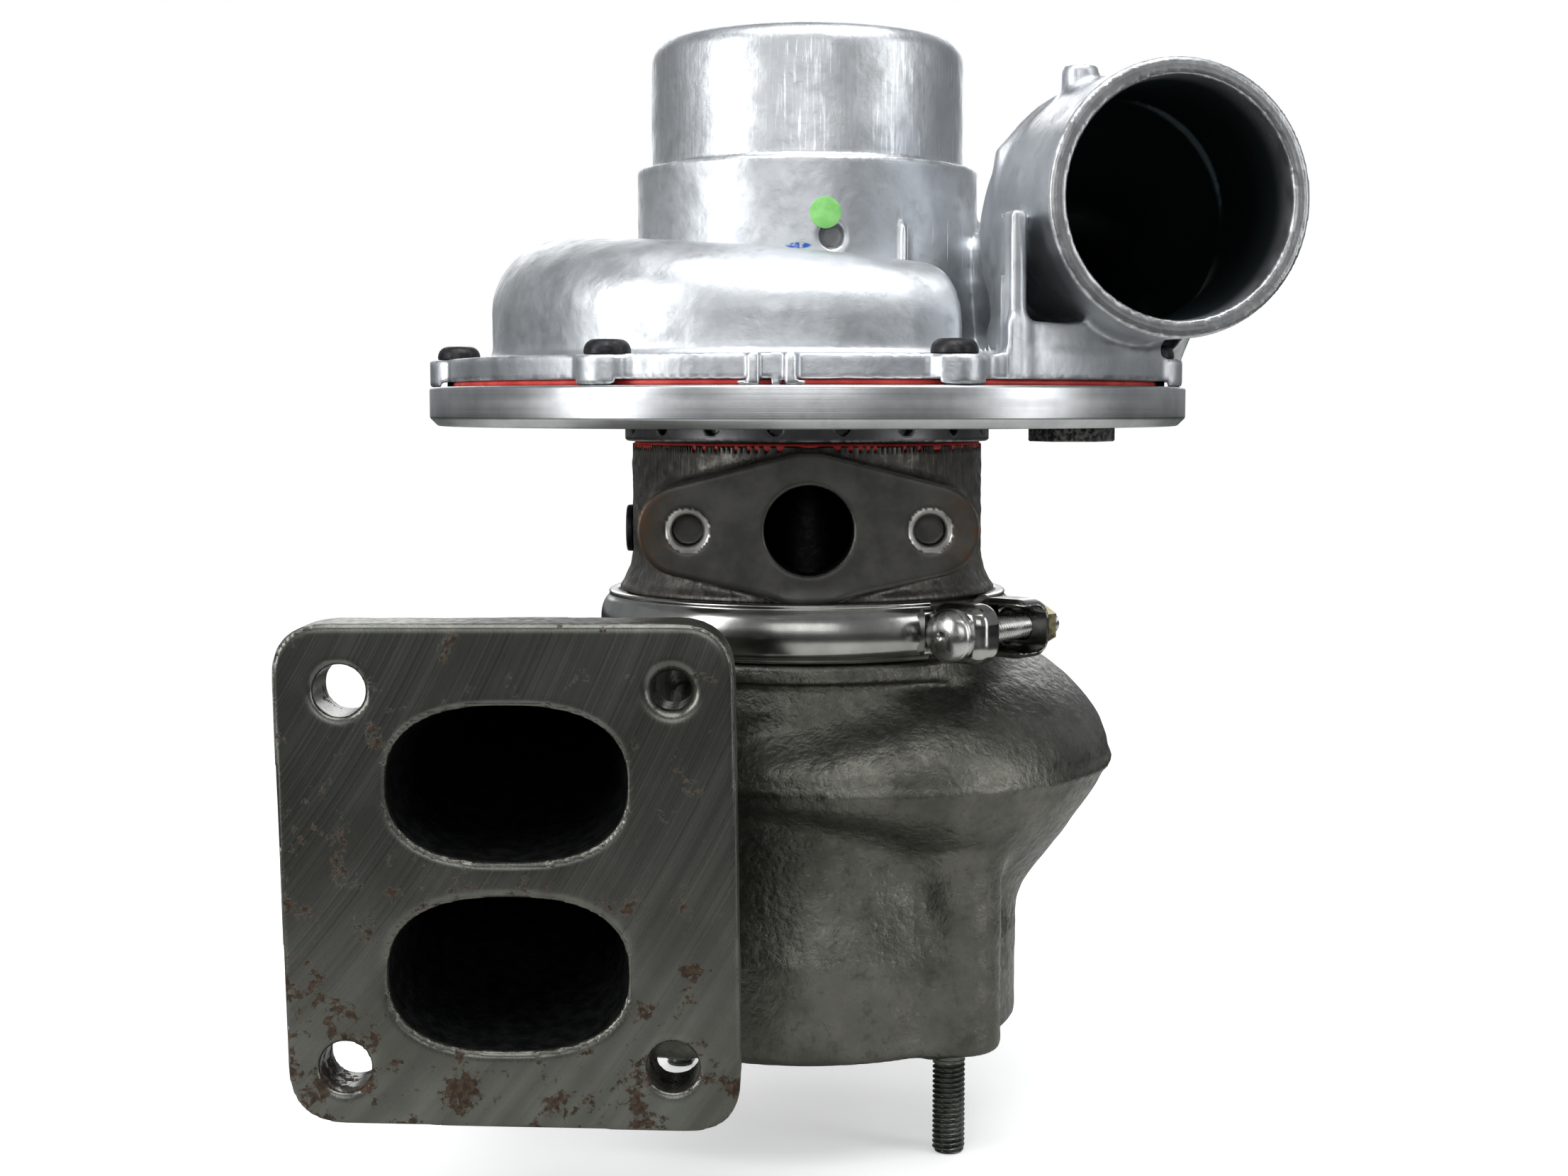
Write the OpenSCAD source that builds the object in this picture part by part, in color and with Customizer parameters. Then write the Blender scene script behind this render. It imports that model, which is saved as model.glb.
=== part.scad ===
// Twin-scroll turbocharger, shaft upright, compressor on top.
// Origin: centre of the exhaust outlet face, on the shaft's axis. +Z runs up the shaft,
// -Y is the side of the turbine inlet, the oil drain and the compressor outlet.
// Azimuths are measured round +Z from -Y towards +X.

/* [Levels up the shaft] */
// Height of the V-band joint between turbine housing and bearing housing
joint_z = 102.7; // [101:0.1:104]
// Height of the bearing housing's top face
deck_z = 146.9; // [146.5:0.1:147.1]
// Height of the seal plate's lower face
plate_bottom_z = 151.2; // [151:0.1:151.4]
// Height of the seal plate's upper face
plate_top_z = 160.7; // [160.5:0.1:161]
// Height of the step where the thin part of the inlet pipe begins
inlet_step_z = 214.6; // [210:0.2:220]
// Height of the compressor inlet's rim
inlet_top_z = 246.3; // [240:0.1:252]

/* [Compressor side] */
// Diameter of the seal plate
plate_d = 190; // [188:1:196]
// Outside diameter of the compressor inlet pipe
inlet_d = 78.4; // [76:0.2:80]
// Bore of the compressor inlet at its rim
inlet_bore_d = 68; // [64:0.5:69]
// Outside diameter of the collar under the inlet pipe
collar_d = 85.6; // [84:0.2:87]
// Outside diameter of the compressor outlet pipe
outlet_d = 61; // [60:0.5:62]
// Bore of the compressor outlet pipe
outlet_bore_d = 53; // [51:0.5:54]
// Angle by which the outlet pipe points away from -Y towards +X
outlet_yaw = 12.7; // [11:0.1:14]
// Centre of the outlet pipe's face
outlet_face = [81, -76, 201.4];
// Thickness of the cover's screw flange
flange_t = 6.8; // [6:0.1:8]
// Number of cover screws
cover_screw_n = 7; // [7:1:7]
// Pitch radius of the cover screws
cover_screw_r = 87.6; // [87:0.1:88]
// Azimuth of the first cover screw
cover_screw_a = 20.8; // [18:0.1:24]

/* [Bearing housing] */
// Diameter of the bearing housing's barrel
barrel_d = 88.8; // [88:0.2:90]
// Distance from the shaft's axis to the oil drain face
drain_y = 48; // [47:0.5:50]
// Height of the oil drain port
drain_z = 127; // [126:0.2:128]
// Diameter of the oil drain port
drain_d = 21.2; // [20:0.2:22]
// Distance between the two drain screws
drain_pitch = 57; // [56:0.5:58]

/* [V-band clamp] */
// Outside diameter of the clamp
clamp_d = 105.4; // [105:0.2:107]
// Height of the clamp's channel
clamp_h = 14.4; // [14:0.1:15]
// Azimuth of the clamp's gap and T-bolt
clamp_a = 48; // [44:1:56]
// Distance from the shaft's axis to the T-bolt's axis
bolt_r = 58.5; // [58:0.1:60]

/* [Turbine side] */
// Diameter of the exhaust outlet barrel
exhaust_d = 108; // [106:0.5:110]
// Bore of the exhaust outlet at its face
exhaust_bore_d = 70; // [68:0.5:72]
// Pitch radius of the exhaust studs and tapped holes
stud_r = 49; // [48.5:0.1:49.5]
// Length of stud that stands out of the exhaust face
stud_out = 26.5; // [20:0.5:30]
// Distance from the shaft's axis to the turbine inlet face
inlet_y = 102; // [100:0.5:104]
// Width of the turbine inlet flange
inlet_w = 97.8; // [96:0.2:99]
// Height of the turbine inlet flange
inlet_h = 109.3; // [108:0.1:110]
// Thickness of the turbine inlet flange
inlet_t = 15; // [12:0.5:16]
// Centre of the turbine inlet's bolt pattern, X and Z
inlet_c = [-64.5, 56];
// Bolt spacing across and up the turbine inlet flange
inlet_pitch = [70, 81];

/* [Rotor] */
// Diameter of the shaft's bearing journals
journal_d = 11; // [11:0.1:11]
// Outside diameter of the floating bearings
bearing_d = 17; // [17:0.1:17]
// Radial running clearance inside and outside each floating bearing
oil_gap = 0.05; // [0.03:0.01:0.08]
// Tip diameter of the turbine wheel
turbine_d = 68; // [67:0.1:68.2]
// Tip diameter of the compressor wheel
wheel_d = 76; // [75:0.1:76.4]
// Number of turbine blades
turbine_blades = 10; // [8:1:12]
// Number of full compressor blades, with as many splitters
wheel_blades = 6; // [5:1:7]

/* [Hidden] */
$fn = 72;
eps = 0.01;
inlet_r = inlet_d / 2;
collar_r = collar_d / 2;
plate_r = plate_d / 2;
barrel_r = barrel_d / 2;
clamp_r = clamp_d / 2;
exhaust_r = exhaust_d / 2;
wheel_r = wheel_d / 2;
turbine_r = turbine_d / 2;
stud_a = [45, 225];
tapped_a = [135, 315];
// A stud's plain neck, which starts a little outside the exhaust face
stud_neck_l = 3.2;
stud_neck_r = 3.85;
// The recess in the seal plate that the compressor wheel's back turns in
recess_z = plate_top_z - 3;
wheel_back_z = recess_z + 0.6;
// The floating bearings' lower ends and their length
bearing_z = [107.1, 126.1];
bearing_l = 9.8;
bearing_bore_r = bearing_d / 2 + oil_gap;
// Thrust stack
thrust_z = 141;
thrust_t = 3.1;
// The ring between seal plate and bearing housing
hub_ring_t = 3.8;
hub_ring_r = 46.3;
hub_pockets = 18;
// Nozzle roof and floor round the turbine wheel
nozzle_top_z = 88.6;
nozzle_bottom_z = 76.6;
exducer_z = 52.6;

// ---------- helpers ----------

// Point at radius r and height z on the given azimuth
function around(a, r, z) = [r * sin(a), -r * cos(a), z];
function mix(a, b, t) = a + (b - a) * t;
function smooth(t) = t * t * (3 - 2 * t);

// Places its children at a radius on an azimuth, their +X pointing outwards
module at(a, r, z = 0) {
    rotate([0, 0, a - 90]) translate([r, 0, z]) children();
}

function total(points) = [for (p = points) 1] * points;
function backwards(list) = [for (i = [len(list) - 1 : -1 : 0]) list[i]];
// Whether a ring runs anticlockwise as seen from the next ring
function anticlockwise(ring, next) =
    total([for (i = [0 : len(ring) - 1]) cross(ring[i], ring[(i + 1) % len(ring)])])
    * (total(next) - total(ring)) > 0;

// Solid through a list of rings that all have the same number of points
module skin(rings) {
    n = len(rings[0]);
    m = len(rings);
    turned_rings = anticlockwise(rings[0], rings[1]) ? [for (ring = rings) backwards(ring)] : rings;
    sides = [for (i = [0 : m - 2], j = [0 : n - 1])
        let (a = i * n + j, b = i * n + (j + 1) % n) each [[a, b, a + n], [b, b + n, a + n]]];
    caps = [[for (j = [n - 1 : -1 : 0]) j], [for (j = [0 : n - 1]) (m - 1) * n + j]];
    polyhedron(points = [for (ring = turned_rings) each ring], faces = concat(sides, caps));
}

// Solid of revolution about the shaft's axis from [radius, height] points
module turned(profile) {
    rotate_extrude() polygon(profile);
}

// Ring with a rectangular section
module ring(ro, ri, z0, z1) {
    translate([0, 0, z0]) difference() {
        cylinder(r = ro, h = z1 - z0);
        translate([0, 0, -1]) cylinder(r = ri, h = z1 - z0 + 2);
    }
}

// Rounded rectangle centred on the origin
module rounded_rect(w, h, r) {
    union() {
        square([w - 2 * r, h], center = true);
        square([w, h - 2 * r], center = true);
        for (x = [-1, 1], y = [-1, 1])
            translate([x * (w / 2 - r), y * (h / 2 - r)]) circle(r);
    }
}

// Stands a flat outline up so that it faces -Y, its X along X and its Y along Z
module facing_front(y_face, t) {
    translate([0, y_face + t, 0]) rotate([90, 0, 0]) linear_extrude(t) children();
}

// ---------- compressor volute ----------

volute_start = 30;
volute_turn = 300;
volute_wall = 4;
// Radius of the volute's outside, after the given turn from its tongue
function volute_r(turn) = sqrt(200 + 1.3 * turn);
// Point on the unit section: round above, near square below by the share k, at angle t
squareness = 0.95;
function volute_point(k, t) =
    let (c = cos(t), s = sin(t), m = s < 0 ? max(abs(c), abs(s)) : 1)
    [mix(c, c / m, k * squareness), mix(s, s / m, k * squareness)];
// The section's inner edge runs inside the collar, and its floor inside the flange
volute_bury = 3;
function volute_half(turn) = volute_r(turn) + (volute_bury - 0.8) / 2;
function volute_axis(turn) = collar_r - volute_bury + volute_half(turn);
// Ring of the volute after a turn, with its wall moved in by inset and its floor left open
function volute_ring(turn, inset, n = 24) =
    let (a = volute_start - turn, r = volute_r(turn), floor = r + (inset > 0 ? 1 : -1))
    [for (i = [0 : n - 1]) let (p = volute_point(1, 360 * i / n))
        around(a, volute_axis(turn) + p[0] * (volute_half(turn) - inset),
            plate_top_z + r + p[1] * (p[1] < 0 ? floor : r - inset))];
// Unit vector along the outlet pipe, outwards
outlet_dir = [sin(outlet_yaw), -cos(outlet_yaw), 0];
outlet_len = 34;
// How far the pipe reaches back from its face into the spiral, and its machined end
outlet_back = outlet_len + 3;
hose_seat = 10;
outlet_root = outlet_face - outlet_len * outlet_dir;
// Ring of the passage from the end of the spiral (t = 0) to the straight pipe (t = 1)
outlet_step = 1;
function exit_ring(t, inset, n = 24) =
    let (r0 = volute_r(volute_turn), q = smooth(t), yaw = outlet_yaw * q,
        rz = mix(r0, outlet_d / 2 - outlet_step, q) - inset,
        rx = mix(volute_half(volute_turn), outlet_d / 2 - outlet_step, q) - inset,
        c = [mix(volute_axis(volute_turn), outlet_root[0], t), mix(0, outlet_root[1], t),
            mix(plate_top_z + r0, outlet_face[2], q)])
    [for (i = [0 : n - 1]) let (p = volute_point(1 - q, 360 * i / n))
        c + [rx * p[0] * cos(yaw), rx * p[0] * sin(yaw), rz * p[1]]];
// The spiral and the passage that leads it into the outlet pipe
module volute(inset) {
    skin(concat([for (turn = [inset > 0 ? 15 : 0 : 15 : volute_turn]) volute_ring(turn, inset)],
        [for (t = [0.2 : 0.2 : 1.001]) exit_ring(t, inset)]));
}

// Cylinder on the outlet pipe's axis, from back behind its face to extra beyond it
module outlet_cylinder(r, back, extra) {
    outlet_cone(r, r, back, extra);
}

// Cone on the same axis, of radius r1 at the back and r2 at the front
module outlet_cone(r1, r2, back, extra) {
    translate(outlet_face - back * outlet_dir) rotate([0, 0, outlet_yaw]) rotate([90, 0, 0])
        cylinder(r1 = r1, r2 = r2, h = back + extra);
}

// ---------- compressor cover ----------

// Shroud line of the compressor wheel, from its inducer (q = 0) to its tip (q = 90)
wheel_eye_r = 27;
function wheel_shroud(q, gap = 0) = [wheel_r + gap - (wheel_r - wheel_eye_r) * cos(q),
    plate_top_z + 4.8 + gap + 29.5 * (1 - sin(q))];
function wheel_hub(q) = [wheel_r - (wheel_r - 9) * cos(q), plate_top_z - 0.2 + 36.5 * (1 - sin(q))];

module cover_flange() {
    lobe_r = 7.2;
    translate([0, 0, plate_top_z]) linear_extrude(flange_t) union() {
        circle(90);
        for (i = [0 : cover_screw_n - 1])
            rotate(cover_screw_a + 360 / cover_screw_n * i - 90) translate([cover_screw_r, 0])
                circle(lobe_r);
    }
    // locating lug at the front
    at(-5.2, 88.5, plate_top_z) translate([0, -5, 0]) cube([6, 10, flange_t]);
}

module cover_outside() {
    volute(0);
    // the outlet pipe, whose end is turned true for the hose
    outlet_cylinder(outlet_d / 2, hose_seat, 0);
    outlet_cone(outlet_d / 2 - 0.45, outlet_d / 2 - 0.2, outlet_back, -1);
    lip = 5;
    // inlet pipe with its rounded rim, collar and skirt down to the plate
    turned(concat([[30, plate_top_z], [collar_r + 8, plate_top_z], [collar_r, plate_top_z + 16],
        [collar_r, inlet_step_z - 1], [collar_r - 1, inlet_step_z], [inlet_r, inlet_step_z]],
        [for (a = [0 : 15 : 90]) [inlet_r - lip + lip * cos(a), inlet_top_z - lip + lip * sin(a)]],
        [[30, inlet_top_z]]));
    cover_flange();
    // wall under the outlet pipe, with a rib up its left side
    intersection() {
        translate([0, 0, plate_top_z]) cylinder(r = 90.6, h = 40);
        union() {
            translate([43.5, -90, plate_top_z]) cube([42, 60, 14]);
            translate([43.5, -68, plate_top_z]) cube([3.5, 24, 38]);
        }
    }
    // boss and angular rib on the pipe's inboard side
    translate([outlet_root[0] - 13, outlet_root[1] - 6, 200]) cylinder(r = 4.9, h = 33);
    facing_front(-46, 6) polygon([[43.8, 190], [43.8, 215.5], [53.4, 224.1], [62, 224.1], [62, 190]]);
}

module cover_inside() {
    volute(volute_wall);
    outlet_cylinder(outlet_bore_d / 2, outlet_back, 5);
    // intake, wheel shroud and diffuser
    turned(concat([[0, plate_top_z - 2], [0, inlet_top_z + 1], [inlet_bore_d / 2 + 1.5, inlet_top_z + 1],
        [inlet_bore_d / 2, inlet_top_z - 1.5], [inlet_bore_d / 2, inlet_top_z - 24]],
        [for (q = [0 : 10 : 90]) wheel_shroud(q, 0.35)],
        [[58, plate_top_z + 4.9], [58, plate_top_z - 2]]));
}

module compressor_cover() {
    color("lightsteelblue") difference() {
        cover_outside();
        cover_inside();
        for (i = [0 : cover_screw_n - 1])
            at(cover_screw_a + 360 / cover_screw_n * i, cover_screw_r, plate_top_z - 1)
                cylinder(r = 3.3, h = flange_t + 2);
        for (i = [0 : cover_screw_n - 1])
            at(cover_screw_a + 360 / cover_screw_n * i, cover_screw_r, plate_top_z + flange_t)
                cylinder(r = 6.6, h = 12);
        // slot in the locating lug, and the groove that the O-ring lies in
        at(-5.2, 93, plate_top_z - 1) translate([0, -1.8, 0]) cube([4, 3.6, flange_t + 2]);
        ring(92, 87.9, plate_top_z - 1, plate_top_z + 1.3);
    }
}

module cover_screws() {
    color("dimgray") for (i = [0 : cover_screw_n - 1])
        at(cover_screw_a + 360 / cover_screw_n * i, cover_screw_r, plate_top_z + flange_t)
            difference() {
                union() {
                    cylinder(r1 = 5.25, r2 = 3.4, h = 3.3);
                    translate([0, 0, -13]) cylinder(r = 3, h = 13 + eps);
                }
                translate([0, 0, 1.4]) cylinder(r = 2.31, h = 3, $fn = 6);
            }
}

module cover_o_ring() {
    color("red") difference() {
        ring(89.9, 88, plate_top_z, plate_top_z + 1.3);
        for (i = [0 : cover_screw_n - 1])
            at(cover_screw_a + 360 / cover_screw_n * i, cover_screw_r, plate_top_z - 1)
                cylinder(r = 3.4, h = 4);
    }
}

module shaft_nut() {
    nut_z = plate_top_z + 38.6;
    color("silver") difference() {
        union() {
            translate([0, 0, nut_z]) cylinder(r = 7.2, h = 1.4);
            translate([0, 0, nut_z + 1.3]) cylinder(r = 7, h = 6.2, $fn = 6);
        }
        translate([0, 0, nut_z - 1]) cylinder(r = 4, h = 12);
    }
}

// ---------- seal plate ----------

plate_screw_n = 6;
plate_screw_r = 33.2;

module seal_plate() {
    edge = 2;
    flinger_r = 8.4;
    color("gainsboro") difference() {
        turned([[0, deck_z], [29.9, deck_z], [29.9, plate_bottom_z], [plate_r - edge, plate_bottom_z],
            [plate_r, plate_bottom_z + edge], [plate_r, plate_top_z - 0.6],
            [plate_r - 0.6, plate_top_z], [0, plate_top_z]]);
        // recess for the wheel, bore for the flinger and oil space below
        translate([0, 0, recess_z]) cylinder(r = wheel_r + 0.6, h = 10);
        translate([0, 0, deck_z - 1]) cylinder(r = flinger_r, h = 20);
        translate([0, 0, deck_z - 1]) cylinder(r = 13, h = 4);
        for (i = [0 : plate_screw_n - 1]) at(15 + 60 * i, plate_screw_r, 0) {
            translate([0, 0, deck_z]) cylinder(r = 2.7, h = 20);
            translate([0, 0, recess_z - 2.6]) cylinder(r1 = 2.6, r2 = 5.2 + eps, h = 2.6 + eps);
        }
        for (i = [0 : cover_screw_n - 1])
            at(cover_screw_a + 360 / cover_screw_n * i, cover_screw_r, plate_top_z - 8)
                cylinder(r = 3, h = 9);
        at(58, 73.6, plate_bottom_z - 1) cylinder(r = 6, h = 7);
    }
}

module seal_plate_screws() {
    color("dimgray") for (i = [0 : plate_screw_n - 1]) at(15 + 60 * i, plate_screw_r, recess_z)
        difference() {
            union() {
                translate([0, 0, -2.5]) cylinder(r1 = 2.5, r2 = 5, h = 2.5);
                translate([0, 0, -18]) cylinder(r = 2.5, h = 18 - 2.5 + eps);
            }
            translate([0, 0, -1.5]) cylinder(r = 1.7, h = 3, $fn = 6);
        }
}

module seal_plate_plug() {
    color("dimgray") at(58, 73.6, plate_bottom_z) union() {
        translate([0, 0, -3.4]) cylinder(r = 10.2, h = 3.4, $fn = 6);
        translate([0, 0, -eps]) cylinder(r = 6, h = 6);
    }
}

module hub_ring() {
    color("dimgray") difference() {
        ring(hub_ring_r, 30, plate_bottom_z - hub_ring_t, plate_bottom_z);
        for (i = [0 : hub_pockets - 1])
            at(10 + 360 / hub_pockets * i, hub_ring_r - 3, plate_bottom_z)
                rotate([0, 90, 0]) cylinder(r = 2, h = 6);
        for (i = [0 : plate_screw_n - 1]) at(15 + 60 * i, plate_screw_r, 140)
            cylinder(r = 2.7, h = 20);
    }
}

module housing_o_ring() {
    color("red") translate([0, 0, deck_z - 0.6]) rotate_extrude()
        translate([43.5, 0]) circle(1.1);
}

// ---------- bearing housing ----------

lip_r = 47.8;
v_rim_r = 49;
core_r = 13;
// Length of the drain's machined mouth
drain_bore_l = 10;

// Outline of the oil drain flange: two vertices above and below, round ends
module drain_outline() {
    end_r = 11;
    half_w = 40.4;
    half_h = 18.1;
    // the lower point stops just above the clamp
    lower_h = 17;
    hull() {
        for (s = [-1, 1]) translate([s * (half_w - end_r), 0]) circle(end_r, $fn = 32);
        polygon([[-3, half_h], [3, half_h], [3, -lower_h], [-3, -lower_h]]);
    }
}

module bearing_housing() {
    spigot_z = 96;
    color("slategray") difference() {
        union() {
            turned([[9.3, spigot_z + 1], [34, spigot_z + 1], [34, spigot_z], [40.5, spigot_z],
                [40.5, joint_z], [v_rim_r, joint_z], [v_rim_r, joint_z + 1.8], [45.8, joint_z + 5.6],
                [45.8, joint_z + 6.6], [lip_r, joint_z + 7], [lip_r, joint_z + 8],
                [barrel_r + 0.9, joint_z + 12.5], [barrel_r, joint_z + 16], [barrel_r, deck_z],
                [9.3, deck_z]]);
            translate([0, 0, drain_z]) facing_front(-drain_y, 26) drain_outline();
            // oil inlet pad at the back
            translate([0, 30, drain_z + 8]) rotate([-90, 0, 0]) cylinder(r = 11, h = 17);
        }
        // spaces for the rotor, from the turbine end up
        translate([0, 0, 90]) cylinder(r = 9.3, h = 13);
        translate([0, 0, 101.5]) cylinder(r = 11.5, h = 3.5);
        translate([0, 0, 100]) cylinder(r = bearing_bore_r, h = 48);
        for (z = bearing_z, end = [-1.1, bearing_l + 0.1])
            translate([0, 0, z + end]) cylinder(r = 9.4, h = 1);
        translate([0, 0, 118.3]) cylinder(r = 11, h = 5.4);
        translate([0, 0, 138]) cylinder(r = 12, h = 12);
        translate([0, 0, thrust_z - eps]) cylinder(r = 20, h = 12);
        // oil chamber round the bearing core, and its way out through the drain
        difference() {
            ring(35.5, core_r, 105, 136.5);
            translate([0, 10, drain_z + 8]) rotate([-90, 0, 0]) cylinder(r = 6, h = 30);
        }
        translate([0, 0, drain_z]) rotate([90, 0, 0]) cylinder(r = drain_d / 2 - 0.6, h = drain_y);
        translate([0, -drain_y + drain_bore_l, drain_z]) rotate([90, 0, 0])
            cylinder(r = drain_d / 2, h = drain_bore_l + 1);
        translate([-5, -19, 115]) cube([10, 10, 12]);
        translate([0, -16.5, 130]) cylinder(r = 3.4, h = 12);
        // drain screw holes, oil feed, seal plate screws, O-ring groove, side port
        for (s = [-1, 1]) translate([s * drain_pitch / 2, -drain_y - 1, drain_z])
            rotate([-90, 0, 0]) cylinder(r = 3.4, h = 15);
        translate([0, 34, drain_z + 8]) rotate([-90, 0, 0]) cylinder(r = 4.5, h = 14);
        translate([0, 6, drain_z + 8]) rotate([-90, 0, 0]) cylinder(r = 1.6, h = 30);
        for (i = [0 : plate_screw_n - 1]) at(15 + 60 * i, plate_screw_r, 139)
            cylinder(r = 2.5, h = 10);
        ring(44.6, 42.3, deck_z - 1.7, deck_z + 1);
        translate([-barrel_r - 1, 0, 125]) rotate([0, 90, 0]) cylinder(r = 5.4, h = 8);
        // hole for the locating pin
        at(200, 44.3, joint_z - 1) cylinder(r = 1.5, h = 4);
    }
}

module side_plug() {
    color("dimgray") translate([-barrel_r - 0.9, 0, 125]) rotate([0, 90, 0]) difference() {
        union() {
            cylinder(r = 6, h = 0.9);
            cylinder(r = 5.4, h = 7.9);
        }
        translate([-0.9, -7, -1]) cube([1.8, 14, 2.6]);
    }
}

module thrust_bearing() {
    color("peru") difference() {
        ring(19.9, 7, thrust_z, thrust_z + thrust_t);
        // oil gallery down to the drain side
        translate([0, -16, thrust_z - 1]) cylinder(r = 2.5, h = 6);
    }
}

module oil_deflector() {
    color("silver") union() {
        ring(19.9, 12, thrust_z + thrust_t, thrust_z + thrust_t + 0.8);
        // tongue that throws the oil down the drain
        translate([-6, -19, thrust_z + thrust_t + 0.8 - eps]) cube([12, 5, 1.6]);
    }
}

module bearing_circlips() {
    color("darkgray") for (z = bearing_z, end = [-1.1, bearing_l + 0.1])
        translate([0, 0, z + end]) difference() {
            cylinder(r = 9.4, h = 1);
            translate([0, 0, -1]) cylinder(r = 6.6, h = 3);
            translate([0, -1.5, -1]) cube([12, 3, 3]);
        }
}

module shaft_seal_rings() {
    color("gray") {
        difference() {
            ring(9.3, 7.8, 97.4, 98.9);
            translate([0, -0.2, 97]) cube([12, 0.4, 3]);
        }
        difference() {
            ring(8.4, 7.1, 152.6, 154.1);
            translate([0, -0.2, 152]) cube([12, 0.4, 3]);
        }
    }
}

module heat_shield() {
    color("darkgray") turned([[12, 89.6], [31, 89.6], [32.6, 94.8], [40.3, 94.8], [40.3, 96],
        [31.5, 96], [30, 90.8], [12, 90.8]]);
}

// ---------- turbine housing ----------

scroll_base = 50;
parting_z = 66.4;
// Outer radius of the scroll after the given turn from its tongue
function scroll_r(turn) = 45 + 2 * sqrt(64 + 2.36 * turn);
// Section of the casting: radius beyond the base and height, p from 1 (top) to -1 (bottom);
// m = 0 is the pointed scroll, m = 1 the full duct
function scroll_section(w, m, p) =
    let (up = min(1.03 * w, 33), down = max(0.7 * w, min(2.3 * w - 24, 55)),
        fullness = mix(2.6, 1.15, smooth(max(0, min(1, (w - 16) / 12)))))
    p >= 0 ? [w * pow(cos(90 * p), 1.6 - 1.1 * m), parting_z + up * sin(90 * p)]
    : [w * (1 - pow(-p, fullness + 4 * m)), parting_z + down * p];
scroll_steps = [for (i = [8 : -1 : -8]) i / 8];
function casting_ring(turn) = let (w = scroll_r(turn) - scroll_base) concat(
    [for (p = scroll_steps) let (s = scroll_section(w, 0, p)) around(turn, scroll_base + s[0], s[1])],
    [around(turn, 36, scroll_section(w, 0, -1)[1]), around(turn, 36, scroll_section(w, 0, 1)[1])]);
function duct_ring(t) =
    let (w = scroll_r(270) - scroll_base, y = -t * (inlet_y - inlet_t + 1), m = smooth(t)) concat(
    [for (p = scroll_steps) let (s = scroll_section(w, m, p)) [-scroll_base - s[0], y, s[1]]],
    [[-mix(36, 33, m), y, scroll_section(w, m, -1)[1]], [-mix(36, 33, m), y, scroll_section(w, m, 1)[1]]]);

port = [25.6, 16.8];
port_z = 20.5;
// Ring of a gas passage: full-cornered oval with half sizes a and b
function fuller(v) = sign(v) * pow(abs(v), 0.8);
function oval(a, b, n = 20) = [for (i = [0 : n - 1])
    [a * fuller(cos(360 * i / n)), b * fuller(sin(360 * i / n))]];
// Half sizes of a passage and the radius of its middle, for a casting w wide beyond the base
function gas_a(w, s) = (s > 0 ? 0.34 : 0.32) * w;
function gas_b(w) = 0.2 * w;
function gas_c(w, s) = scroll_base + (s > 0 ? 0.36 : 0.31) * w;
// The two passages lie 4 mm apart, one above the parting level and one below
function gas_z(w, s) = parting_z + s * (2 + gas_b(w));
function gas_ring(turn, s) =
    let (w = scroll_r(turn) - scroll_base)
    [for (p = oval(gas_a(w, s), gas_b(w))) around(turn, gas_c(w, s) + p[0], gas_z(w, s) + p[1])];
function gas_duct_ring(t, s) =
    let (w = scroll_r(270) - scroll_base, q = smooth(t),
        a = mix(gas_a(w, s), port[0], q * q), b = mix(gas_b(w), port[1], q * q),
        xc = -mix(gas_c(w, s), -inlet_c[0], q))
    [for (p = oval(a, b)) [xc - p[0], -t * (inlet_y + 1),
        mix(gas_z(w, s), inlet_c[1] + s * port_z, q) + p[1]]];

// The scroll runs from its tongue at the front, by the right and the back, to the inlet
module casting_scroll() {
    difference() {
        skin(concat([for (turn = [0 : 15 : 270]) casting_ring(turn)],
            [for (t = [0.25 : 0.25 : 1]) duct_ring(t)]));
        // room for the clamp above the high side of the scroll
        translate([0, 0, joint_z - 7.7]) cylinder(r = clamp_r + 1.4, h = 20);
    }
}

module gas_passage(s) {
    skin(concat([for (turn = [30 : 15 : 270]) gas_ring(turn, s)],
        [for (t = [0.2 : 0.2 : 1.001]) gas_duct_ring(t, s)]));
}

// Shroud line of the turbine wheel, from its exducer (q = 0) to its tip (q = 90)
exducer_r = 29.5;
function turbine_shroud(q, gap = 0) = [turbine_r + gap - (turbine_r - exducer_r) * cos(q),
    exducer_z + (nozzle_bottom_z - exducer_z) * sin(q) - gap * sin(q)];
function turbine_hub(q) = [turbine_r - (turbine_r - 9.5) * cos(q), exducer_z + 35.2 * sin(q)];

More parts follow.
